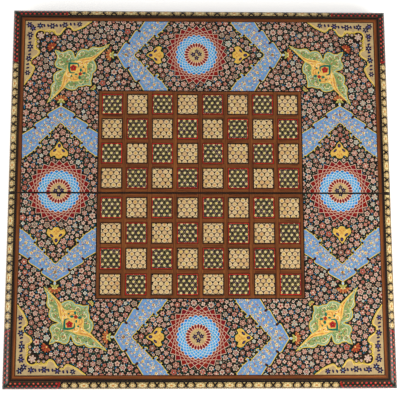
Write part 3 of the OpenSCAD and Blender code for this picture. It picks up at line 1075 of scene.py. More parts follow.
# Radius, gap to the next, share of the free places that are used, and what grows there
GROUND_FLOWERS = (
    (4.3, 0.8, 0.35, large_flower), (3.5, 0.75, 0.8, large_flower), (2.7, 0.65, 1.0, small_flower),
    (1.9, 0.5, 1.0, small_flower), (1.25, 0.4, 1.0, bud))
GROUND_LEAF = (0.7, 0.1, 0.6)
GROUND_LEAF_SIZE = (1.8, 0.8)
GROUND_LEAF_TINTS = ("teal", "leaf", "leaf", "azure")


def flower_ground(art, bed, chance):
    """Fills what the larger motifs leave free with flowers, buds and leaves, the largest first."""
    for radius, gap, share, kind in GROUND_FLOWERS:
        for x, y in bed.places(radius, gap, share, chance):
            kind(art, x, y, radius * chance.uniform(0.94, 1.04), chance)
            bed.take(x, y, radius)
    for x, y in bed.places(*GROUND_LEAF, chance):
        outline = leaf(x, y, *GROUND_LEAF_SIZE, chance.uniform(0, TAU))
        art.lay(outline, chance.choice(GROUND_LEAF_TINTS), 1)


# The larger motifs, each drawn round its own middle

# Along each side, from its middle, and in from the painting's edge: the rosette, then the tips of
# the two bands and the two gold leaves. They are painted by hand, so no two sides are alike.
SIDES = {
    "front": (0, (-2.9, 47.2), (-109.5, 47.4), (112.6, 45.3), (-56.4, 47.3), (53.8, 45.9)),
    "right": (1, (3.0, 49.7), (-114.9, 49.5), (117.1, 47.5), (-53.4, 49.0), (56.3, 49.4)),
    "rear": (2, (4.8, 45.7), (-108.7, 45.3), (110.4, 46.5), (-53.2, 45.6), (58.6, 46.3)),
    "left": (3, (-2.2, 48.8), (-115.6, 49.3), (114.9, 46.5), (-55.1, 48.0), (55.1, 46.7)),
}
# Signs of x and y of a corner, and the red flower in the middle of its green cartouche
CORNERS = (
    (-1, 1, -168.3, 168.0), (1, 1, 166.8, 167.0), (-1, -1, -166.6, -169.6), (1, -1, 168.8, -170.2))
# How far the flower ground stays off the motifs
ROSETTE_ROOM = 0.5
BAND_ROOM = 0.5
GOLD_LEAF_ROOM = 0.7
CARTOUCHE_ROOM = 0.7
SPANDREL_ROOM = 0.6


def side_points(side, points):
    """Points by their place along a side and in from the painting's edge."""
    points = np.asarray(points, float)
    return quarter_turn(np.column_stack([points[:, 0], points[:, 1] - PAINT]), side)


def side_point(side, u, v):
    """A point at u along a side and v in from the painting's edge."""
    return side_points(side, [(u, v)])[0]


def set_down(put_down, point):
    """One point of a motif's own frame, on the board."""
    return put_down([point])[0]


# Rosettes

ROSETTE_TIPS = 24
ROSETTE_HALF_STEP = math.pi / ROSETTE_TIPS
ROSETTE_RINGS = (41.0, 35.9, 33.0, 31.0, 29.4, 28.0, 25.8, 23.6, 21.5, 19.4, 17.3, 15.3)
ROSETTE_RED_ROWS = 5
ROSETTE_ROW_TINTS = {ROSETTE_RED_ROWS: "russet", ROSETTE_RED_ROWS + 1: "star_blue"}
ROSETTE_LINE_WIDTHS = (0.58, 0.42)  # at the tips and at the innermost ring
ROSETTE_CROSSING = 0.4
ROSETTE_COLLAR = (15.9, 10.2)
ROSETTE_PETAL_RING = 13.5
ROSETTE_PETAL = (6.6, 3.1)
ROSETTE_DISC = 10.7
ROSETTE_DISC_FACE = 9.9
ROSETTE_BLOSSOMS = ((-4.3, 0.3, 3.0), (4.2, 1.0, 2.9), (0.3, 4.8, 2.5), (0.2, -4.4, 3.0))


def rosette_cells(art, at):
    """The blue star inside the red rim, and the lozenges between the lines."""
    blue = [at(k, ROSETTE_RINGS[ROSETTE_RED_ROWS + (k - ROSETTE_RED_ROWS) % 2])
            for k in range(2 * ROSETTE_TIPS)]
    art.lay(blue, "star_blue", 1.5)
    for row in range(ROSETTE_RED_ROWS, len(ROSETTE_RINGS) - 1):
        outer, middle, inner = ROSETTE_RINGS[row - 1:row + 2]
        tint = ROSETTE_ROW_TINTS.get(row, "azure")
        for k in range((row + 1) % 2, 2 * ROSETTE_TIPS, 2):
            art.lay([at(k, outer), at(k + 1, middle), at(k, inner), at(k - 1, middle)], tint, 2)


def rosette_lines(art, at):
    """Two bowed lines from each tip to the middle, one each way, and dots where they cross."""
    for k in range(0, 2 * ROSETTE_TIPS, 2):
        for way in (-1, 1):
            line = [at(k + way * step, radius) for step, radius in enumerate(ROSETTE_RINGS)]
            line = flowing(line, False, 2)
            widths = np.linspace(*ROSETTE_LINE_WIDTHS, len(line))
            for number, piece in enumerate(stroke(line, widths)):
                art.lay(piece, "line_white" if number < 2 * ROSETTE_RED_ROWS else "cool_white", 4)
    for row in range(ROSETTE_RED_ROWS, len(ROSETTE_RINGS) - 1):
        for k in range(row % 2, 2 * ROSETTE_TIPS, 2):
            art.lay(oval(*at(k, ROSETTE_RINGS[row]), ROSETTE_CROSSING, corners=5), "line_white", 4.5)


def rosette_disc(art, x, y):
    """The round middle with its four dark blossoms."""
    art.lay(oval(x, y, ROSETTE_DISC, corners=36), "tan", 6)
    art.lay(oval(x, y, ROSETTE_DISC_FACE, corners=36), "stone", 7)
    for right, up, size in ROSETTE_BLOSSOMS:
        spot = (x + right, y + up)
        art.lay_all(petals(*spot, size * 0.2, size * 1.2, 5, right, 0.98, 7), "night", 8)
        art.lay(oval(*spot, size * 0.7, corners=9), "night", 8.3)
        art.lay(oval(*spot, size * 0.2, corners=6), "dusty_pink", 9)


def rosette(art, bed, x, y):
    """Bowed lines that cross from ring to ring: dark red cells, then blue, round petals and a disc."""

    def at(half_steps, radius):
        return away(x, y, radius, half_steps * ROSETTE_HALF_STEP)

    outline = [at(k, ROSETTE_RINGS[k % 2]) for k in range(2 * ROSETTE_TIPS)]
    bed.fill(np.array(outline), ROSETTE_ROOM)
    art.lay(outline, "oxblood", 1)
    rosette_cells(art, at)
    rosette_lines(art, at)
    art.lay_all(ring(x, y, *ROSETTE_COLLAR, 48), "line_white", 5)
    for k in range(0, 2 * ROSETTE_TIPS, 2):
        turn = k * ROSETTE_HALF_STEP
        art.lay(leaf(*at(k, ROSETTE_PETAL_RING), *ROSETTE_PETAL, turn), "oxblood", 6)
    rosette_disc(art, x, y)


# Blue bands

# A band is an arrow head whose tip is the origin. It opens along +X, and its arms reach up and
# down to the edges of the painting.
BAND_BACK = 41.5
BAND_REACH = 52.0
BAND_ARM = np.array([BAND_BACK, BAND_REACH])
BAND_ALONG = BAND_ARM / np.linalg.norm(BAND_ARM)
BAND_OUTWARD = np.array([-BAND_ALONG[1], BAND_ALONG[0]])
BAND_WIDTH = 23.0
BAND_WIDENING = 7.0
BAND_PAST_EDGE = 4.0
# The arm toward the painting's edge is as much shorter
BAND_OUTER_ARM = 0.94
# The notches of the outer edge, from the tip along the arm, and the shape of the lobes between them:
# shares of a lobe's length, and how far it stands out there
BAND_NOTCHES = (23.0, 45.5)
BAND_LOBE = ((0.05, 0.2), (0.3, 1.1), (0.62, 2.2), (0.86, 3.0), (0.96, 1.8), (0.99, -2.4))
BAND_BAYS = (
    (0.0, 0.0), (1.5, 3.0), (5.5, 6.0), (8.2, 9.0), (10.5, 12.5), (12.8, 14.8), (16.5, 13.6),
    (19.2, 14.6), (18.8, 17.2), (17.0, 19.0), (20.0, 22.5), (24.5, 27.5), (27.0, 28.2), (30.5, 25.8),
    (32.6, 27.8), (31.8, 31.2), (35.0, 35.0), (36.8, 34.2), (38.2, 36.5), (39.4, 40.0), (42.2, 44.0),
    (45.2, 47.2), (47.4, BAND_REACH))
BAND_EDGE = 1.0
BAND_BITES = 7
BAND_BITE = (2.0, 1.9, 1.6)  # what it takes, its gold rim and its black middle
BAND_CURLS = 640
BAND_CURL = ((-1.2, 0), (-0.4, 0.5), (0.5, 0.3), (1.0, -0.5))
BAND_CURL_WIDTHS = (0.25, 0.6, 0.6, 0.2)
BAND_CURL_TINTS = ("pale_blue", "violet", "aqua", "cream", "tan", "pale_blue", "coral")
BAND_FLOWERS = 13
BAND_SIDE_FLOWERS = ((0.19, 1.1), (0.8, 1.2))  # share of the width, and radius
BAND_PETAL_TINTS = ("cream", "stone", "pale_gold")
BAND_HEART_TINTS = ("orange", "gold", "tan")


def band_edges():
    """The outer and the inner edge of a band's upper arm, from the tip on."""
    lobe_ends = (0.0, *BAND_NOTCHES, np.linalg.norm(BAND_ARM) + BAND_PAST_EDGE)
    line = [(0.0, 0.0), (0.0, 0.0)]
    for start, end in zip(lobe_ends, lobe_ends[1:]):
        for share, out in BAND_LOBE:
            line.append(BAND_ALONG * (start + (end - start) * share) + BAND_OUTWARD * out)
    outer = flowing(line, closed=False, steps=4)
    inner = flowing(BAND_BAYS, closed=False, steps=4) + (BAND_WIDTH, 0)
    return outer, inner


def in_band(across, along_arm):
    """A place in the upper arm, by its shares of the band's width and of the arm's length."""
    return np.array([BAND_WIDTH * across, 0]) + (BAND_ARM + (BAND_WIDENING * across, 0)) * along_arm


def band_notches(art, put_down, up):
    """A black eye with a red spot in each notch of the outer edge."""
    for notch in BAND_NOTCHES:
        spot = BAND_ALONG * (notch + 0.4) - BAND_OUTWARD * 0.7
        x, y = set_down(put_down, spot * (1, up))
        inward = set_down(put_down, (spot - BAND_OUTWARD) * (1, up)) - (x, y)
        turn = math.atan2(inward[1], inward[0])
        art.lay(oval(x, y, 2.5, 1.7, turn, 9), "black", 4)
        art.lay(oval(x, y, 0.8, 0.5, turn, 6), "oxblood", 5)


def band_bites(art, bed, put_down, edge):
    """Round bites out of the inner edge, each with a gold rim."""
    taken, rim, middle = BAND_BITE
    for k in range(BAND_BITES):
        spot = edge[round((k + 0.7) / BAND_BITES * (len(edge) - 1))]
        bed.take(*set_down(put_down, spot), taken)
        art.lay(oval(*set_down(put_down, spot), rim), "gold", 3.3)
        art.lay(oval(*set_down(put_down, spot + (0.6, 0)), middle), "black", 3.6)


def band_curls(art, put_down, chance):
    """Small curls in many tints, scattered over the blue."""
    for _ in range(BAND_CURLS):
        along_arm, across = chance.uniform(-0.05, 1.0), chance.uniform(0.1, 0.9)
        up = chance.choice((-1, 1))
        x, y = set_down(put_down, in_band(across, along_arm) * (1, up))
        angle = chance.uniform(0, TAU)
        tint = chance.choice(BAND_CURL_TINTS)
        curl = moved(BAND_CURL, x, y, angle, chance.uniform(0.5, 0.95))
        art.lay_all(stroke(curl, BAND_CURL_WIDTHS), tint, 2)


def band_flower(art, x, y, size, count, angle, chance):
    """A pale flower with a gold heart, and a red eye if it is a large one."""
    for petal in petals(x, y, size * 0.26, size, count, angle, 0.9, 7):
        art.lay(petal, chance.choice(BAND_PETAL_TINTS), 3)
    art.lay(oval(x, y, size * 0.34, corners=7), chance.choice(BAND_HEART_TINTS), 4)
    if size > 2.0:
        art.lay(oval(x, y, 0.5, corners=6), "brick", 5)


def band_scroll(art, put_down, chance):
    """A winding row of flowers down the middle of each arm, with smaller ones beside it and leaves."""
    for up in (-1, 1):
        for k in range(BAND_FLOWERS):
            along_arm = 0.01 + k * 1.0 / BAND_FLOWERS
            turn = k * 1.7
            across = 0.5 + 0.13 * math.sin(k * 2.1)
            x, y = set_down(put_down, in_band(across, along_arm) * (1, up))
            band_flower(art, x, y, 2.4 - 0.7 * (k % 2), 5 - k % 2, turn + up + across, chance)
            for across, size in BAND_SIDE_FLOWERS:
                x, y = set_down(put_down, in_band(across, along_arm + 0.03) * (1, up))
                band_flower(art, x, y, size, 3 + k % 2, turn + up + across, chance)
            for way in (turn + 0.8, turn + 3.6):
                art.lay(leaf(*away(x, y, 3.0, way), 1.8, 0.8, way), "pale_gold", 3)


def blue_band(art, bed, side, tip, depth, sign, chance):
    """A blue band that runs from the painting's edge to a point and back, with a scroll of flowers."""
    outer, inner = band_edges()

    def put_down(points):
        points = np.asarray(points, float)
        on_outer_arm = (points < 0) & (np.arange(2) == 1)
        points = np.where(on_outer_arm, points * BAND_OUTER_ARM, points)
        return side_points(side, np.column_stack([tip - sign * points[:, 0], depth + points[:, 1]]))

    lower_outer, lower_inner = outer * (1, -1), inner * (1, -1)
    outline = put_down(np.concatenate([outer, inner[::-1], lower_inner, lower_outer[::-1]]))
    bed.fill(outline, BAND_ROOM)
    art.lay(outline, "band_blue", 1)
    for upper, lower in ((outer, lower_outer), (inner, lower_inner)):
        line = np.concatenate([lower[::-1], upper])
        art.lay_all(stroke(put_down(line), BAND_EDGE), "gold", 3)
    for up in (-1, 1):
        band_notches(art, put_down, up)
        band_bites(art, bed, put_down, inner * (1, up))
    band_curls(art, put_down, chance)
    band_scroll(art, put_down, chance)
    finial(art, bed, side, tip, depth, sign)


FINIAL_AHEAD = 7.5
FINIAL_ROOM = 7.8
FINIAL_PETALS = 7
FINIAL_PETAL_STEP = 0.46
# Where the fan of petals starts, how far it reaches ahead and across, and the half axes of a petal
# and of its vein
FINIAL_FAN_START = 0.6
FINIAL_PETAL = ((4.6, 6.2), (2.7, 1.15))
FINIAL_VEIN = ((3.9, 5.2), (1.6, 0.5))
# The heart of the blossom, and the drop behind it: place on the axis, half axes, tint and level
FINIAL_HEART = (
    (1.4, 2.0, 2.4, "coral", 4), (0.2, 2.4, 3.0, "pale_gold", 4.5), (0.2, 1.4, 1.9, "sage", 4.8))
FINIAL_DROP = ((-5.2, 2.6, 1.7, "pale_gold", 4), (-5.2, 2.0, 1.2, "pale_blue", 5))
# Place on the axis and off it, length, width, turn and tint
FINIAL_LEAVES = ((-1.8, 2.9, 6.2, 2.5, 2.2, "calyx"), (1.0, 2.3, 3.6, 1.3, 1.0, "pale_gold"))


def finial(art, bed, side, tip, depth, sign):
    """A blossom on a green calyx with a blue drop, at the tip of a band."""
    x, y = side_point(side, tip + sign * FINIAL_AHEAD, depth)
    ahead = (x, y) - side_point(side, tip, depth)
    way = math.atan2(ahead[1], ahead[0])
    bed.take(x, y, FINIAL_ROOM)

    def spot(forward, across=0.0):
        return moved([(forward, across)], x, y, way)[0]

    def fan_oval(turn, reach, half_axes, corners):
        middle = spot(FINIAL_FAN_START + reach[0] * math.cos(turn), reach[1] * math.sin(turn))
        return oval(*middle, *half_axes, way + turn, corners)

    for k in range(FINIAL_PETALS):
        turn = (k - FINIAL_PETALS // 2) * FINIAL_PETAL_STEP
        art.lay(fan_oval(turn, *FINIAL_PETAL, 9), "tan" if k % 2 else "orange", 2)
        art.lay(fan_oval(turn, *FINIAL_VEIN, 7), "brick", 3)
    for forward, long, short, tint, level in FINIAL_HEART:
        art.lay(oval(*spot(forward), long, short, way), tint, level)
    for flip in (-1, 1):
        for forward, across, length, width, turn, tint in FINIAL_LEAVES:
            outline = leaf(*spot(forward, across * flip), length, width, way + turn * flip)
            art.lay(outline, tint, 5)
    art.lay(oval(*spot(-1.6), 2.1, 1.5, way, 9), "calyx", 5)
    for forward, long, short, tint, level in FINIAL_DROP:
        art.lay(oval(*spot(forward), long, short, way), tint, level)


# Gold leaves

TREFOIL_SIZE = 0.95
TREFOIL_HALF = (
    (-13.0, 0), (-13.0, 0), (-9.4, 2.8), (-6.4, 4.3), (-4.2, 5.4), (-2.2, 8.2), (0.6, 11.2),
    (3.8, 12.2), (8.0, 10.6), (8.0, 10.6), (6.2, 7.4), (6.6, 4.8), (9.4, 3.4), (10.4, 0))
TREFOIL_VEIN = ((-6, 0), (-1, 3), (3, 4), (5.5, 7.5))
# Place, half axes and turn
TREFOIL_OVALS = ((-7.4, 0.3, 2.9, 2.3, 0), (-0.4, 6.0, 3.1, 1.6, 0.8), (-1.0, -5.8, 3.1, 1.6, -0.8))
TREFOIL_SPOTS = ((4.6, 2.6), (4.6, -2.6), (6.6, 0.0), (1.4, 0.0))


def trefoil(art, bed, side, u, v, sign):
    """A gold leaf of three lobes with dark ovals, whose tip points away from the medallion."""

    def put_down(points):
        points = np.asarray(points, float) * TREFOIL_SIZE
        return side_points(side, np.column_stack([u - sign * points[:, 0], v + points[:, 1]]))

    outline = put_down(flowing(mirrored(TREFOIL_HALF)[:-1], steps=4))
    bed.fill(outline, GOLD_LEAF_ROOM)
    art.lay(outline, "leaf_gold", 1)
    art.lay_all(stroke(outline, 0.6, True), "gold", 3)
    for flip in (1, -1):
        vein = flowing(np.array(TREFOIL_VEIN) * (1, flip), False)
        art.lay_all(stroke(put_down(vein), 0.7), "pale_gold", 3)
    for x, y, long, short, turn in TREFOIL_OVALS:
        art.lay(put_down(oval(x, y, long, short, turn, 9)), "night", 4)
        art.lay(put_down(oval(x, y, long * 0.5, short * 0.5, turn, 7)), "plum", 5)
    for x, y in TREFOIL_SPOTS:
        art.lay(put_down(oval(x, y, 1.0, 0.6, 0.4, 7)), "orange", 4)


# Green cartouches

# Across the corner, and outwards to it, from the red flower in the middle
CARTOUCHE_HALF = (
    (0, 33.8), (0, 33.8), (2.5, 29.6), (3, 26.6), (7.4, 22.8), (10.7, 22), (14.1, 19.4), (14.6, 14.6),
    (12.4, 10.8), (10.8, 7.2), (10.8, 7.2), (14.8, 8.6), (19.2, 10.6), (25, 10.3), (29.4, 6.2),
    (30.9, 2.4), (30.9, 2.4), (34.2, 3.1), (38.9, 1.5), (42.5, -3.3), (48.1, -7.6), (57, -10.9),
    (57, -10.9), (43.4, -11.4), (31.8, -11.4), (26.2, -11.4), (26.2, -11.4), (25.4, -15.4),
    (22.4, -20.8), (17.8, -23.8), (13.0, -23.4), (13.0, -23.4), (8.8, -27.2), (4.0, -29.6), (0, -34.4))
CARTOUCHE_GOLD = (
    (0, 8.4), (5, 5.8), (10, 3.0), (16, 1.0), (22, -3.0), (27, -6.4), (34, -9.2), (50, -10.6),
    (34, -10.9), (25.5, -10.8), (20, -9.4), (15, -10.6), (12, -14.5), (7, -18.6), (3.5, -17), (0, -15.5))
CARTOUCHE_VEINS = (
    ("cream", ((9.4, 1.6), (13, -1.2), (12.2, -5.2), (9, -4.8), (9.6, -2.2))),
    ("orange", ((15.4, -1.0), (20, -4.2), (26, -8.2), (38, -10.2))),
    ("cream", ((13.5, -8.6), (18, -6.4), (23, -8.4))),
    ("orange", ((8.4, -8.2), (10.4, -12.2), (7.6, -15.6), (4.4, -14.6))))
CARTOUCHE_COLLAR = (
    (-3.0, -6.6), (-6.9, -2.6), (-4.2, 3.0), (0.6, 7.4), (0.6, 7.4), (4.6, 3.6), (8.0, -0.8),
    (5.8, -5.2))
CARTOUCHE_SCROLLS = (
    ((4, 12), (8, 13), (9, 17), (6, 18.5), (5, 16)), ((1.5, 20), (4, 22), (3, 26), (1.5, 24)),
    ((17, 7.5), (22, 8), (25.5, 5), (23, 2.5), (20, 4)), ((33, 0.5), (38, -1), (42, -5.5), (38, -6)),
    ((20, -12), (21, -16), (17, -19), (14.5, -17)), ((8, -19), (8.5, -23), (4, -24), (3, -21)))
# Depth under the edge, width and tint
CARTOUCHE_LINES = ((1.3, 0.8, "mist"), (3.0, 0.4, "pale_green"))
CARTOUCHE_MARKS = 900
CARTOUCHE_MARK_REACH = (50, 30)
CARTOUCHE_BLOOM_SHARE = 0.3
CARTOUCHE_CURL = ((-1.0, 0), (-0.3, 0.5), (0.5, 0.3), (0.8, -0.4))
CARTOUCHE_CURL_WIDTHS = (0.3, 0.6, 0.5, 0.3)
CARTOUCHE_MARK_TINTS = ("cream", "pale_gold", "pale_gold", "pale_green", "tan", "teal", "cool_white")
# Place, turn and length of the green leaves, and place and turn of the slim ones
CARTOUCHE_LEAVES = (
    (-3.2, -15.8, 0.7, 6.4), (5.0, -9.8, 0.75, 6.0), (5.2, -16.0, -0.66, 6.0), (-3.4, -9.6, -0.9, 4.6),
    (-9.6, -7.0, 0.4, 4.2), (10.4, -9.4, 1.2, 3.6))
CARTOUCHE_SLIM_LEAVES = (
    (18, -7.0, -0.25), (-18, -7.0, 0.25), (8.6, -1.4, 0.5), (-8.6, -1.4, -0.5),
    (30, -9.4, -0.2), (-30, -9.4, 0.2), (5.4, -12.6, 0.9), (-5.8, -12.4, -0.9))
CARTOUCHE_FLOWERS = (  # place and radius
    (0, -0.8, 4.7), (1.0, -13.0, 2.6), (0.4, 11.4, 1.0), (-12.6, -7.6, 0.9), (12.6, -4.6, 0.9))
# Place on the way to the corner, tints of the petals in turn, tint of their veins, and size
FAN_PLACES = (
    (39.0, ("orange", "coral"), "brick", 6.8), (-37.6, ("pale_gold", "calyx"), "sea_green", 4.2))
FAN_PETALS = 7
FAN_STEP = 0.52


def both_sides(points):
    """An outline from its right half, which starts and ends on the Y axis."""
    points = np.asarray(points, float)
    return np.concatenate([points, (points * (-1, 1))[::-1][1:-1]])


def cartouche_ground(art, put_down, outline):
    """The green shape with its gold edge and two pale lines inside it."""
    art.lay(put_down(outline), "sea_green", 1)
    sign = 1 if area(outline) > 0 else -1
    for depth, width, tint in CARTOUCHE_LINES:
        art.lay_all(stroke(put_down(inset(outline, sign * depth)), width, True), tint, 3)
    art.lay_all(stroke(put_down(outline), 1.0, True), "gold", 4)


def cartouche_marks(art, put_down, outline, chance):
    """Small curls and blooms, scattered over the green."""
    closed = np.concatenate([outline, outline[:1]])
    wide, high = CARTOUCHE_MARK_REACH
    for _ in range(CARTOUCHE_MARKS):
        across, out = chance.uniform(-wide, wide), chance.uniform(-high, high)
        if not inside(closed, across, out, 2.0):
            continue
        x, y = set_down(put_down, (across, out))
        tint = chance.choice(CARTOUCHE_MARK_TINTS)
        turn = chance.uniform(0, TAU)
        if chance.random() < CARTOUCHE_BLOOM_SHARE:
            art.lay_all(petals(x, y, 0.2, 1.0, 4, turn, 0.9, 6), tint, 3.5)
        else:
            curl = moved(CARTOUCHE_CURL, x, y, turn)
            art.lay_all(stroke(curl, CARTOUCHE_CURL_WIDTHS), tint, 3.5)


def cartouche_scrolls(art, put_down):
    """Cream scrolls that end in a coral bud."""
    for flip in (-1, 1):
        for points in CARTOUCHE_SCROLLS:
            scroll = flowing(np.array(points) * (flip, 1), False)
            art.lay_all(stroke(put_down(scroll), np.linspace(0.9, 0.4, len(scroll))), "cream", 4)
            art.lay(oval(*set_down(put_down, scroll[-1]), 0.9, corners=7), "coral", 5)


def cartouche_gold(art, put_down):
    """The gold shape in the middle, with its veins."""
    outline = put_down(flowing(both_sides(CARTOUCHE_GOLD), steps=3))
    art.lay(outline, "middle_gold", 4.5)
    art.lay_all(stroke(outline, 0.5, True), "pale_gold", 5)
    for flip in (-1, 1):
        for tint, points in CARTOUCHE_VEINS:
            vein = flowing(np.array(points) * (flip, 1), False, 4)
            art.lay_all(stroke(put_down(vein), np.linspace(0.9, 0.5, len(vein))), tint, 5.3)


def cartouche_flowers(art, put_down, tilt):
    """The red flowers on their green collar, between green and slim orange leaves."""
    collar = flowing(CARTOUCHE_COLLAR, False, 4)
    swelling = 0.7 + 2.3 * np.sin(np.linspace(0.1, math.pi - 0.1, len(collar)))
    art.lay_all(stroke(put_down(collar), swelling), "teal", 5.8)
    for across, out, turn, length in CARTOUCHE_LEAVES:
        spot = set_down(put_down, (across, out))
        art.lay(leaf(*spot, length, length * 0.56, tilt + turn), "teal", 6)
    for across, out, size in CARTOUCHE_FLOWERS:
        spot = set_down(put_down, (across, out))
        art.lay(oval(*spot, size * 0.84), "coral", 6.5)
        art.lay_all(petals(*spot, size * 0.2, size, 5, across + 0.4, 0.98, 7), "red", 7)
        art.lay(oval(*spot, size * 0.4, corners=7), "maroon" if size > 1.5 else "orange", 8)
        art.lay(oval(*spot, size * 0.2, corners=6), "orange", 9)
    for across, out, turn in CARTOUCHE_SLIM_LEAVES:
        spot = set_down(put_down, (across, out))
        art.lay(leaf(*spot, 5.6, 1.2, tilt + turn), "orange", 5.5)


def end_fans(art, bed, put_down, toward):
    """The half-open blossoms at the outer and the inner point of a cartouche."""
    for reach, petal_tints, vein, size in FAN_PLACES:
        x, y = set_down(put_down, (0, reach))
        bed.take(x, y, size * 0.45)
        ahead = np.sign(reach) * toward
        for k in range(FAN_PETALS):
            turn = math.atan2(ahead[1], ahead[0]) + (k - FAN_PETALS // 2) * FAN_STEP
            spot = away(x, y, size * 0.62, turn)
            bed.take(*spot, size * 0.5)
            art.lay(oval(*spot, size * 0.42, size * 0.17, turn, 8), petal_tints[k % 2], 2)
            art.lay(leaf(*spot, size * 0.5, size * 0.1, turn), vein, 3)
        art.lay(oval(x, y, size * 0.34, corners=9), "coral", 5)
        art.lay(oval(x, y, size * 0.16, corners=7), "pale_gold", 6)


def cartouche(art, bed, sx, sy, x, y, chance):
    """A green cartouche across a corner of the painting, with a gold middle and scrolls."""
    toward = np.array([sx, sy]) / math.sqrt(2)
    across = np.array([sy, -sx]) / math.sqrt(2)

    def put_down(points):
        points = np.asarray(points, float)
        return points[:, :1] * across + points[:, 1:] * toward + (x, y)

    outline = flowing(both_sides(CARTOUCHE_HALF), steps=3)
    bed.fill(put_down(outline), CARTOUCHE_ROOM)
    cartouche_ground(art, put_down, outline)
    cartouche_marks(art, put_down, outline, chance)
    cartouche_scrolls(art, put_down)
    cartouche_gold(art, put_down)
    cartouche_flowers(art, put_down, math.atan2(across[1], across[0]))
    end_fans(art, bed, put_down, toward)


# Corner spandrels

# Along the painting's edge from the corner, and in from it
SPANDREL_ARM = (
    (88, 0), (84, 2.8), (78, 7.4), (70, 11.4), (64.5, 13.2), (61.5, 11), (59.5, 8.4), (54.5, 8.6),
    (50.5, 12.2), (47, 17.4), (42.6, 19.4), (39.8, 17.2), (38.6, 14), (34, 13.6), (28.5, 14),
    (23.5, 12.6), (18.2, 12.6), (14.6, 14.6))
# Place and radius of the discs that bite into the edge
SPANDREL_BITES = (
    (20.4, 20.2, 7.2), (28.6, 17.4, 3.1), (35.0, 17.0, 2.9), (17.4, 28.6, 3.1), (17.0, 35.0, 2.9))
SPANDREL_CORNER_FLOWERS = ((5.2, 5.4), (9.8, 10.0))
SPANDREL_FLOWERS = ((19.3, 6.4), (35.6, 6.8), (52.3, 5.4), (71.5, 4.2))
SPANDREL_BUDS = ((27.3, 6.2), (43.8, 6.2), (62.3, 4.2))
SPANDREL_EYE_TINTS = ("violet", "grey_white", "pale_blue")
# The pale line runs this far inside the gold edge, between two distances from the corner
SPANDREL_LINE = 1.7
SPANDREL_LINE_ENDS = (24, 86)
# From here on the arm is too narrow for a full flower
SPANDREL_NARROW = 60


def on_both_arms(spots):
    """Spots of one arm, each followed by its twin on the other."""
    return [twin for spot in spots for twin in (spot, spot[::-1])]


def bite(art, bed, put_down, a, b, size):
    """A dark disc with a pale flower that bites into a spandrel, which keeps a gold rim round it."""
    x, y = set_down(put_down, (a, b))
    bed.take(x, y, size)
    toward_arm = math.atan2(-1.0 if b < a + 3 else 0.0, -1.0 if a < b + 3 else 0.0)
    rim = [away(a, b, size + 0.2, toward_arm + turn) for turn in np.linspace(-1.7, 1.7, 14)]
    art.lay_all(stroke(put_down(rim), 1.0), "gold", 5.2)
    art.lay(oval(x, y, size, corners=20), "umber", 5)
    full = size * (0.7 if size > 5 else 0.62)
    art.lay_all(petals(x, y, size * 0.14, full, 6, 0.3), "shell", 5.5)
    art.lay_all(petals(x, y, size * 0.22, full * 0.74, 6, 0.3, 0.6, 6), "dusty_pink", 6)
    art.lay(oval(x, y, size * 0.2, corners=9), "grey_white", 6.5)
    art.lay(oval(x, y, size * 0.1, corners=7), "brick", 7)


def spandrel_flowers(art, put_down, chance):
    """Dark blue flowers along both arms, with pairs of buds between them."""
    for a, b in [*SPANDREL_CORNER_FLOWERS, *on_both_arms(SPANDREL_FLOWERS)]:
        size = 4.5 if max(a, b) < SPANDREL_NARROW else 3.9
        x, y = set_down(put_down, (a, b))
        art.lay_all(petals(x, y, size * 0.24, size, 6, a, 0.94, 9), "night", 5)
        art.lay(oval(x, y, size * 0.34, corners=8), "night", 5.5)
        art.lay(oval(x, y, size * 0.18, corners=7), chance.choice(SPANDREL_EYE_TINTS), 7)
    for a, b in on_both_arms(SPANDREL_BUDS):
        for step in (-2.5, 2.5):
            x, y = set_down(put_down, (a + step, b) if a > b else (a, b + step))
            art.lay(oval(x, y, 2.4, 1.35, math.pi / 2 * (a > b) + 0.3, 8), "night", 5)
            art.lay(oval(x, y, 0.5, 0.3, 0, 5), "plum", 6)


def spandrel(art, bed, sx, sy, chance):
    """A beige corner piece with a scalloped gold edge and a row of dark blue flowers."""

    def put_down(points):
        points = np.asarray(points, float)
        return np.column_stack([sx * (PAINT - points[:, 0]), sy * (PAINT - points[:, 1])])

    other_arm = [spot[::-1] for spot in SPANDREL_ARM[::-1]]
    edge = flowing([*SPANDREL_ARM, *other_arm], False, 3)
    outline = put_down(np.concatenate([edge, [(0.0, 0.0)]]))
    bed.fill(outline, SPANDREL_ROOM)
    art.lay(outline, "beige", 1)
    art.lay_all(stroke(put_down(edge), 1.15), "gold", 4)
    start, end = SPANDREL_LINE_ENDS
    lowered = [(a, max(b - SPANDREL_LINE, 0)) for a, b in SPANDREL_ARM if start < a < end]
    line = flowing(lowered, False, 3)
    for arm in (line, line[:, ::-1]):
        art.lay_all(stroke(put_down(arm), 0.8), "pale_gold", 3)
    for a, b, size in SPANDREL_BITES:
        bite(art, bed, put_down, a, b, size)
    spandrel_flowers(art, put_down, chance)


# The whole painting

PAINTED_PIECES = (
    "flower_ground", "blue_bands", "rosettes", "gold_leaves", "green_cartouches", "corner_spandrels")
FIELD_LINE = 1.3


def field_line(art):
    """The black line that the painting keeps round the chess field."""
    wide, deep = CHESS_X + FIELD_LINE, CHESS_Y + FIELD_LINE
    for sign in (-1, 1):
        art.lay(bar(sign * CHESS_X, sign * wide, -deep, deep), "black", 6)
        art.lay(bar(-CHESS_X, CHESS_X, sign * CHESS_Y, sign * deep), "black", 6)


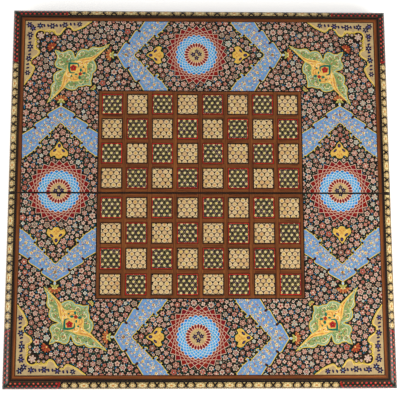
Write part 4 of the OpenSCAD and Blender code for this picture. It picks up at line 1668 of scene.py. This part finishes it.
def paint_panel(materials):
    """The whole painting: the motifs first, which keep their places free of the flower ground."""
    chance = random.Random(SEED)
    bed = Bed()
    pieces = [Inlay(name, "painting") for name in PAINTED_PIECES]
    ground, bands, rosettes, gold_leaves, cartouches, spandrels = pieces
    for side, middle, low_tip, high_tip, low_leaf, high_leaf in SIDES.values():
        rosette(rosettes, bed, *side_point(side, *middle))
        for sign, tip, gold in ((-1, low_tip, low_leaf), (1, high_tip, high_leaf)):
            blue_band(bands, bed, side, *tip, sign, chance)
            trefoil(gold_leaves, bed, side, *gold, sign)
    for sx, sy, x, y in CORNERS:
        spandrel(spandrels, bed, sx, sy, chance)
        cartouche(cartouches, bed, sx, sy, x, y, chance)
    flower_ground(ground, bed, chance)
    field_line(ground)
    for piece in pieces:
        piece.build(materials)


# Star mosaic

STAR_ACROSS = 7.3
STAR_DOWN = 5.2
STAR_TURN = math.pi / 6
# How full a bone cell of the light squares is cut
LIGHT_CELL_SHARE = (0.76, 0.88)
LIGHT_CELL_TINTS = ("cell_bone", "cell_old", "cell_bone")
# The stars that lie on each other in a cell, the largest first: half axes, dent and tints
LIGHT_STARS = (
    (2.5, 2.4, 0.62, ("cell_old", "peach")), (1.5, 1.4, 0.6, ("yellow_rod", "cell_bone", "peach")))
DARK_STARS = (
    (2.05, 1.88, 0.67, ("star_bone", "star_bone", "bone")), (1.1, 1.1, 0.6, ("yellow_rod", "star_bone")))
# The rod in the middle of a star: radius and tints
LIGHT_MIDDLE = (0.7, ("orange_rod", "peach", "yellow_rod"))
DARK_MIDDLE = (0.4, ("orange_rod", "yellow_rod", "brass_wire"))
# What lies between the stars: radius of a wedge and of the knots, half axes of a sliver, and tints
LIGHT_KNOTS = (1.35, 1.05)
LIGHT_SLIVER = (0.5, 1.5)
DARK_WEDGE = 1.3
DARK_KNOT = 0.65
DARK_SLIVER = (1.2, 0.55)
LIGHT_KNOT_TINTS = ("grey_rod", "mauve_rod", "purple_rod", "brown_rod", "grey_rod")
LIGHT_SLIVER_TINTS = ("mauve_rod", "grey_rod", "brown_rod", "purple_rod")
DARK_WEDGE_TINTS = ("green_rod", "purple_rod", "dark_rod", "dark_rod")
DARK_KNOT_TINTS = ("old_bone", "olive_rod", "bone")
DARK_SLIVER_TINTS = ("purple_rod", "olive_rod", "mauve_rod", "olive_rod", "green_rod")


def lattice(low, high, chance):
    """Middles of the stars that reach a rectangle, row by row, each row half a star further on."""
    phase = (chance.uniform(0, STAR_ACROSS), chance.uniform(0, STAR_DOWN))
    row = 0
    y = low[1] - STAR_DOWN + phase[1]
    while y < high[1] + STAR_DOWN:
        x = low[0] - STAR_ACROSS + phase[0] + (row % 2) * STAR_ACROSS / 2
        while x < high[0] + STAR_ACROSS:
            yield x, y
            x += STAR_ACROSS
        y += STAR_DOWN
        row += 1


def cell_corners(x, y, share=1.0):
    """The six corners of a star's cell in the lattice."""
    side = STAR_ACROSS / 2
    reach = side**2 + STAR_DOWN**2
    low = (reach / 2 - side**2) / STAR_DOWN
    high = reach / 2 / STAR_DOWN
    corners = [(side, -low), (side, low), (0, high), (-side, low), (-side, -low), (0, -high)]
    return np.array(corners) * share + (x, y)


def stacked_star(art, fields, x, y, stars, middle, chance):
    """Six-pointed stars that lie on each other, with a rod on top."""
    for level, (long, short, dent, tints) in enumerate(stars, 2):
        art.lay(star(x, y, long, short, 6, dent, STAR_TURN), chance.choice(tints), level, fields)
    radius, tints = middle
    art.lay(oval(x, y, radius, corners=6), chance.choice(tints), 4, fields)


def dark_stars(art, fields, low, high, chance):
    """Bone stars on a dark ground, with slivers of green, purple and brass between them."""
    for x, y in lattice(low, high, chance):
        stacked_star(art, fields, x, y, DARK_STARS, DARK_MIDDLE, chance)
        corners = cell_corners(x, y)
        for corner in corners[1:5:2]:
            tint = chance.choice(DARK_WEDGE_TINTS)
            wedge = oval(*corner, DARK_WEDGE, corners=3, angle=chance.uniform(0, TAU))
            art.lay(wedge, tint, 1, fields)
            art.lay(oval(*corner, DARK_KNOT, corners=5), chance.choice(DARK_KNOT_TINTS), 2, fields)
        for here, there in zip(corners[:3], corners[1:4]):
            along_x, along_y = there - here
            sliver = oval(*(here + there) / 2, *DARK_SLIVER, math.atan2(along_y, along_x), 4)
            art.lay(sliver, chance.choice(DARK_SLIVER_TINTS), 2, fields)


def light_stars(art, fields, low, high, chance):
    """Bone cells that all but fill the ground, with dark slivers where they meet."""
    for x, y in lattice(low, high, chance):
        tint = chance.choice(LIGHT_CELL_TINTS)
        art.lay(cell_corners(x, y, chance.uniform(*LIGHT_CELL_SHARE)), tint, 1, fields)
        stacked_star(art, fields, x, y, LIGHT_STARS, LIGHT_MIDDLE, chance)
        for corner, radius in zip(cell_corners(x, y)[1:5:2], LIGHT_KNOTS):
            knot = oval(*corner, radius, corners=6)
            art.lay(knot, chance.choice(LIGHT_KNOT_TINTS), 5, fields)
        sliver = oval(x + STAR_ACROSS / 2, y, *LIGHT_SLIVER, corners=6)
        art.lay(sliver, chance.choice(LIGHT_SLIVER_TINTS), 5, fields)


def tiles_of(node, half):
    """The squares of a node as fields, read from its solid tiles."""
    corners = np.array([vertex.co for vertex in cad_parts[node].data.vertices])[:, :2] / MM
    start = np.array([tile_edges[0], corners[:, 1].min()])
    # A little more than nothing, so that a rounded corner doesn't fall in the square before
    steps = np.floor((corners - start + 1e-3) / PITCH).astype(int)
    lows = [start + np.array(step) * PITCH for step in sorted(set(map(tuple, steps)))]
    return [Field(half, low, low + TILE, on_face) for low in lows]


def inlay_squares(materials):
    """The star mosaic of the 64 squares."""
    chance = random.Random(SEED + 1)
    light = Inlay("light_stars", "star_mosaic")
    dark = Inlay("dark_stars", "dark_mosaic")
    for half in HALVES:
        for field in tiles_of(f"{half}_light_squares", half):
            light_stars(light, [field], field.low, field.high, chance)
        for field in tiles_of(f"{half}_dark_squares", half):
            dark_stars(dark, [field], field.low, field.high, chance)
    light.build(materials)
    dark.build(materials)


# Mosaic of the mouldings and walls

SIDE_COUNT = 4
STRIP = 1.1
STRIP_EDGE = 0.05


def strips(half, side, low, high):
    """A stretch of moulding as narrow fields, so that flat shapes follow its roundness."""
    count = math.ceil(ROUND_ARC / STRIP)
    lines = np.linspace(STRIP_EDGE, ROUND_ARC - STRIP_EDGE, count + 1)
    lie = on_moulding(side)
    return [Field(half, (low, near), (high, far), lie) for near, far in zip(lines, lines[1:])]


def edge_stretches(starts, end):
    """The stretches of the four sides between two distances from their middles, each with its half.

    The front and rear sides take the first start, and the sides that the fold crosses the second.
    """
    for side in range(SIDE_COUNT):
        for sign in (-1, 1):
            low, high = sorted((sign * starts[side % 2], sign * end))
            y = quarter_turn(np.array([[(low + high) / 2, -CASE]]), side)[0][1]
            yield side, "front" if y < 0 else "rear", low, high


# The front and rear sides, and the left and right ones, differ in how far down from the face the
# middle of the stars runs, and how wide the dark line beside the painting is
EDGE_MIDDLE = (6.0, 5.4)
EDGE_INNER_LINE = (2.0, 1.0)
EDGE_BONE_LINE = 0.6
EDGE_OUTER_LINES = ((10.0, 10.7, "brown_rod"), (15.5, 16.3, "dark_rod"))
# The length of a repeat on the front, right, rear and left sides
EDGE_REPEATS = (36.6, 36.6, 46.0, 36.6)
# The stars that lie on each other, the largest first: half axes, points, dent and tint
WIDE_STARS = (
    (6.4, 3.7, 8, 0.66, "bone"), (3.8, 2.3, 6, 0.55, "old_bone"), (2.2, 1.3, 6, 0.6, "orange_rod"))
SMALL_STARS = ((3.3, 2.9, 6, 0.62, "bone"), (1.7, 1.5, 6, 0.6, "peach"))
# Along the edge from the middle of a repeat's wide star
SMALL_STAR = 12.4
CROSS = 18.3
# Slivers above and below the stars: place along and off the middle line, length and tint
EDGE_SLIVERS = ((SMALL_STAR, 3.85, 0.8, "grey_rod"), (4.2, 3.675, 0.9, "olive_rod"))
ARC = ((10.0, 4.2), (7.8, 2.5), (7.0, 0), (7.8, -2.5), (10.0, -4.2))
CROSS_ARM = ((-3.0, 4.2), (-1.3, 2.0), (0, 0), (1.3, -2.0), (3.0, -4.2))
CROSS_WIDTH = 1.9
DIAMOND_STEP = 3.1
DIAMOND_LINE = 13.1


def edge_unit(art, fields, u, stretch, v):
    """One repeat of the edge: a wide star, an arc, a small star, a cross, a small star and an arc."""

    def at(points):
        return np.asarray(points, float) * (stretch, 1) + (u, v)

    def lay_stars(middle, stars):
        for level, (long, short, points, dent, tint) in enumerate(stars, 1):
            art.lay(at(star(middle, 0, long, short, points, dent)), tint, level, fields)

    lay_stars(0, WIDE_STARS)
    for side in (-1, 1):
        lay_stars(side * SMALL_STAR, SMALL_STARS)
        art.lay(at(oval(side * SMALL_STAR, 0, 0.7, corners=6)), "orange_rod", 3, fields)
        arc = flowing(np.array(ARC) * (side, 1), False, 3)
        art.lay_all(stroke(at(arc), CROSS_WIDTH), "dark_rod", 4, fields)
        arm = flowing(np.array(CROSS_ARM) * (side, 1) + (CROSS, 0), False, 2)
        art.lay_all(stroke(at(arm), CROSS_WIDTH), "dark_rod", 4, fields)
        for up in (-1, 1):
            for along_edge, off_middle, length, tint in EDGE_SLIVERS:
                sliver = oval(side * along_edge, up * off_middle, length, 0.5, 0, 5)
                art.lay(at(sliver), tint, 2, fields)
    art.lay(at(oval(CROSS, 0, 1.2, 1.1, corners=6)), "dark_rod", 5, fields)


def edge_lines(art, fields, side, low, high):
    """The dark, bone and brown lines that run along the moulding."""
    inner = EDGE_INNER_LINE[side % 2]
    inner_lines = ((0.0, inner, "dark_rod"), (inner, inner + EDGE_BONE_LINE, "old_bone"))
    for start, end, tint in inner_lines + EDGE_OUTER_LINES:
        art.lay(bar(low, high, start, end), tint, 1, fields)


def edge_diamonds(art, fields, low, high):
    """A row of bone diamonds low on the moulding, with dark points between them."""
    for k in range(math.floor(low / DIAMOND_STEP), math.ceil(high / DIAMOND_STEP) + 1):
        diamond = star(k * DIAMOND_STEP, DIAMOND_LINE, 1.45, 2.1, 4, 0.5)
        art.lay(diamond, "bone" if k % 2 else "peach", 1, fields)
        art.lay(oval((k + 0.5) * DIAMOND_STEP, DIAMOND_LINE, 0.5, corners=4), "dark_rod", 2, fields)


def edge_mosaic(materials):
    """Bone moulding with dark arcs and crosses between stars."""
    art = Inlay("edge_stars", "star_mosaic")
    for side, half, low, high in edge_stretches((0.0, CAP_END), CORNER_START):
        fields = strips(half, side, low, high)
        repeat = EDGE_REPEATS[side]
        for k in range(math.floor(low / repeat) - 1, math.ceil(high / repeat) + 2):
            edge_unit(art, fields, k * repeat, repeat / EDGE_REPEATS[0], EDGE_MIDDLE[side % 2])
        edge_lines(art, fields, side, low, high)
        edge_diamonds(art, fields, low, high)
    art.build(materials)


DOT_STEP = 5.75
DOT_START = 4.6
DOT_ROWS = (3.0, 6.9, 11.2, 14.6)
DOT_TINTS = ("red_rod", "red_rod", "rust_rod")
DOT_MIDDLE_TINTS = ("peach", "red_rod")
CORNER_LINES = (0.7, 15.7)
CORNER_LINE_HALF = 0.3
CORNER_LINE_SHORT = 0.4
CORNER_WEDGE = ((0.0, 1.0), (1.8, 1.0), (4.8, 9.8), (2.8, 9.8), (0.0, 5.0))


def corner_dots(art, fields, sign, chance):
    """Rows of red dots with a pale or red middle, and green points between them."""
    for row, v in enumerate(DOT_ROWS):
        mitre = ROUND_START + ROUND_RADIUS * math.sin(v / ROUND_RADIUS)
        u = CORNER_START + DOT_START + (row % 2) * DOT_STEP / 2
        while u < mitre - 1.6:
            art.lay(oval(sign * u, v, 1.5, 1.3, corners=8), chance.choice(DOT_TINTS), 1, fields)
            art.lay(oval(sign * u, v, 0.6, 0.5, corners=6), chance.choice(DOT_MIDDLE_TINTS), 2, fields)
            between = u + DOT_STEP / 2
            if between < mitre - 1.4:
                art.lay(oval(sign * between, v, 0.7, 0.6, corners=4), "green_rod", 1, fields)
            u += DOT_STEP


def corner_mosaic(materials):
    """Rows of red dots on the black corners of the moulding, between brown lines."""
    art = Inlay("corner_dots", "dark_mosaic")
    chance = random.Random(SEED + 2)
    for side, half, low, high in edge_stretches((CORNER_START, CORNER_START), CASE):
        fields = strips(half, side, low, high)
        sign = 1 if low > 0 else -1
        start, end = sorted((sign * CORNER_START, sign * (ROUND_START - CORNER_LINE_SHORT)))
        for line in CORNER_LINES:
            outline = bar(start, end, line - CORNER_LINE_HALF, line + CORNER_LINE_HALF)
            art.lay(outline, "brown_rod", 1, fields)
        wedge = np.array(CORNER_WEDGE) * (sign, 1) + (sign * CORNER_START, 0)
        art.lay(wedge, "rust_rod", 1, fields)
        corner_dots(art, fields, sign, chance)
    art.build(materials)


WALL_BORDER = 2.4
WALL_SHORT = 0.4
# From the upper and the lower edge, width and tint
WALL_LINES = ((0.5, 0.9, "dark_rod"), (1.3, 0.45, "brass_wire"), (2.0, 0.7, "dark_rod"))


def wall_mosaic(materials):
    """Walls veneered with bone stars between dark and brass lines."""
    art = Inlay("wall_stars", "star_mosaic")
    chance = random.Random(SEED + 3)
    tall = WALL_HIGH - WALL_LOW
    for side, half, low, high in edge_stretches((0.0, FOLD), CASE - WALL_SHORT):
        lie = on_wall(side)
        start, end = (low, WALL_BORDER), (high, tall - WALL_BORDER)
        light_stars(art, [Field(half, start, end, lie)], start, end, chance)
        whole = [Field(half, (low, 0), (high, tall), lie)]
        for line, width, tint in WALL_LINES:
            for v in (line, tall - line):
                art.lay(bar(low, high, v - width / 2, v + width / 2), tint, 2, whole)
    art.build(materials)


# Stage

FLOOR_HALF = 4.0
FLOOR_WHITE = (0.86, 0.86, 0.86, 1)
FLOOR_GLOW = 0.5
WHITE = (1, 1, 1, 1)
ROOM_LIGHT = 0.4
ROOM_SEEN = 0.6  # what the camera sees more than that
LAMP_WARMTH = (1.0, 0.96, 0.87)
LAMPS = {  # place, size and watts
    "left lamp": ((-1.25, -0.35, 0.9), 0.8, 12),
    "right lamp": ((0.82, -0.4, 0.62), 0.6, 9.6),
}
PHOTO_PIXELS = 400
FOCAL_PIXELS = 926.8
CAMERA_TILT = math.radians(-9.253)
CAMERA_TURN = math.radians(1.278)
CAMERA_ROLL = math.radians(0.099)
# Where the middle of the face lies from the camera: right, up and back, in millimetres
FACE_FROM_CAMERA = Vector((0.43, 9.11, -1203.4))
SENSOR = 36.0
NEAREST_SEEN = 0.05
FARTHEST_SEEN = 20.0


def floor():
    """A plain pale floor that keeps the shadow, and shows as white."""
    data = bpy.data.meshes.new("floor")
    corners = bar(-FLOOR_HALF, FLOOR_HALF, -FLOOR_HALF, FLOOR_HALF)
    data.from_pydata([(x, y, 0) for x, y in corners], [], [(0, 1, 2, 3)])
    piece = bpy.data.objects.new("floor", data)
    bpy.context.scene.collection.objects.link(piece)
    material, tree, shader, _ = new_finish("floor white", specular=0.1)
    shader["Base Color"].default_value = FLOOR_WHITE
    shader["Roughness"].default_value = 0.9
    shader["Emission Color"].default_value = WHITE
    path = put(tree, "ShaderNodeLightPath").outputs
    seen = maths(tree, "MAXIMUM", path["Is Camera Ray"], path["Is Glossy Ray"])
    join(tree, maths(tree, "MULTIPLY", seen, FLOOR_GLOW), shader["Emission Strength"])
    data.materials.append(material)


def lamp(name, place, size, watts):
    """A soft square lamp that looks at the middle of the board."""
    data = bpy.data.lights.new(name, "AREA")
    data.shape = "SQUARE"
    data.size = size
    data.energy = watts
    data.color = LAMP_WARMTH
    piece = bpy.data.objects.new(name, data)
    bpy.context.scene.collection.objects.link(piece)
    piece.location = place
    piece.rotation_euler = (-Vector(place)).to_track_quat("-Z", "Y").to_euler()


def room():
    """Plain soft light from all round, with a lamp on each side of the camera."""
    world = bpy.data.worlds.new("room")
    bpy.context.scene.world = world
    world.use_nodes = True
    tree = world.node_tree
    sky = tree.nodes["Background"].inputs
    sky["Color"].default_value = WHITE
    seen = put(tree, "ShaderNodeLightPath").outputs["Is Camera Ray"]
    join(tree, maths(tree, "MULTIPLY_ADD", seen, ROOM_SEEN, ROOM_LIGHT), sky["Strength"])
    for name, (place, size, watts) in LAMPS.items():
        lamp(name, place, size, watts)


def camera():
    """The photograph's view, from a little in front of the board's middle."""
    turn_x = Matrix.Rotation(CAMERA_TILT, 3, "X")
    turn_y = Matrix.Rotation(CAMERA_TURN, 3, "Y")
    turn_z = Matrix.Rotation(CAMERA_ROLL, 3, "Z")
    to_camera = turn_x @ turn_y @ turn_z
    data = bpy.data.cameras.new("camera")
    data.sensor_width = SENSOR
    data.sensor_fit = "HORIZONTAL"
    data.lens = FOCAL_PIXELS / PHOTO_PIXELS * SENSOR
    data.clip_start = NEAREST_SEEN
    data.clip_end = FARTHEST_SEEN
    piece = bpy.data.objects.new("camera", data)
    bpy.context.scene.collection.objects.link(piece)
    back = to_camera.transposed()
    place = (-(back @ FACE_FROM_CAMERA) + Vector((0, 0, FACE))) * MM
    piece.matrix_world = Matrix.Translation(place) @ back.to_4x4()
    bpy.context.scene.camera = piece


camera()
floor()
room()
dress_walls()
dress_core()
dress_lines()
dress_grounds()
dress_trays()
dress_metal()
tints = tint_materials()
paint_panel(tints)
inlay_squares(tints)
edge_mosaic(tints)
corner_mosaic(tints)
wall_mosaic(tints)

bpy.context.scene.view_settings.view_transform = "Standard"
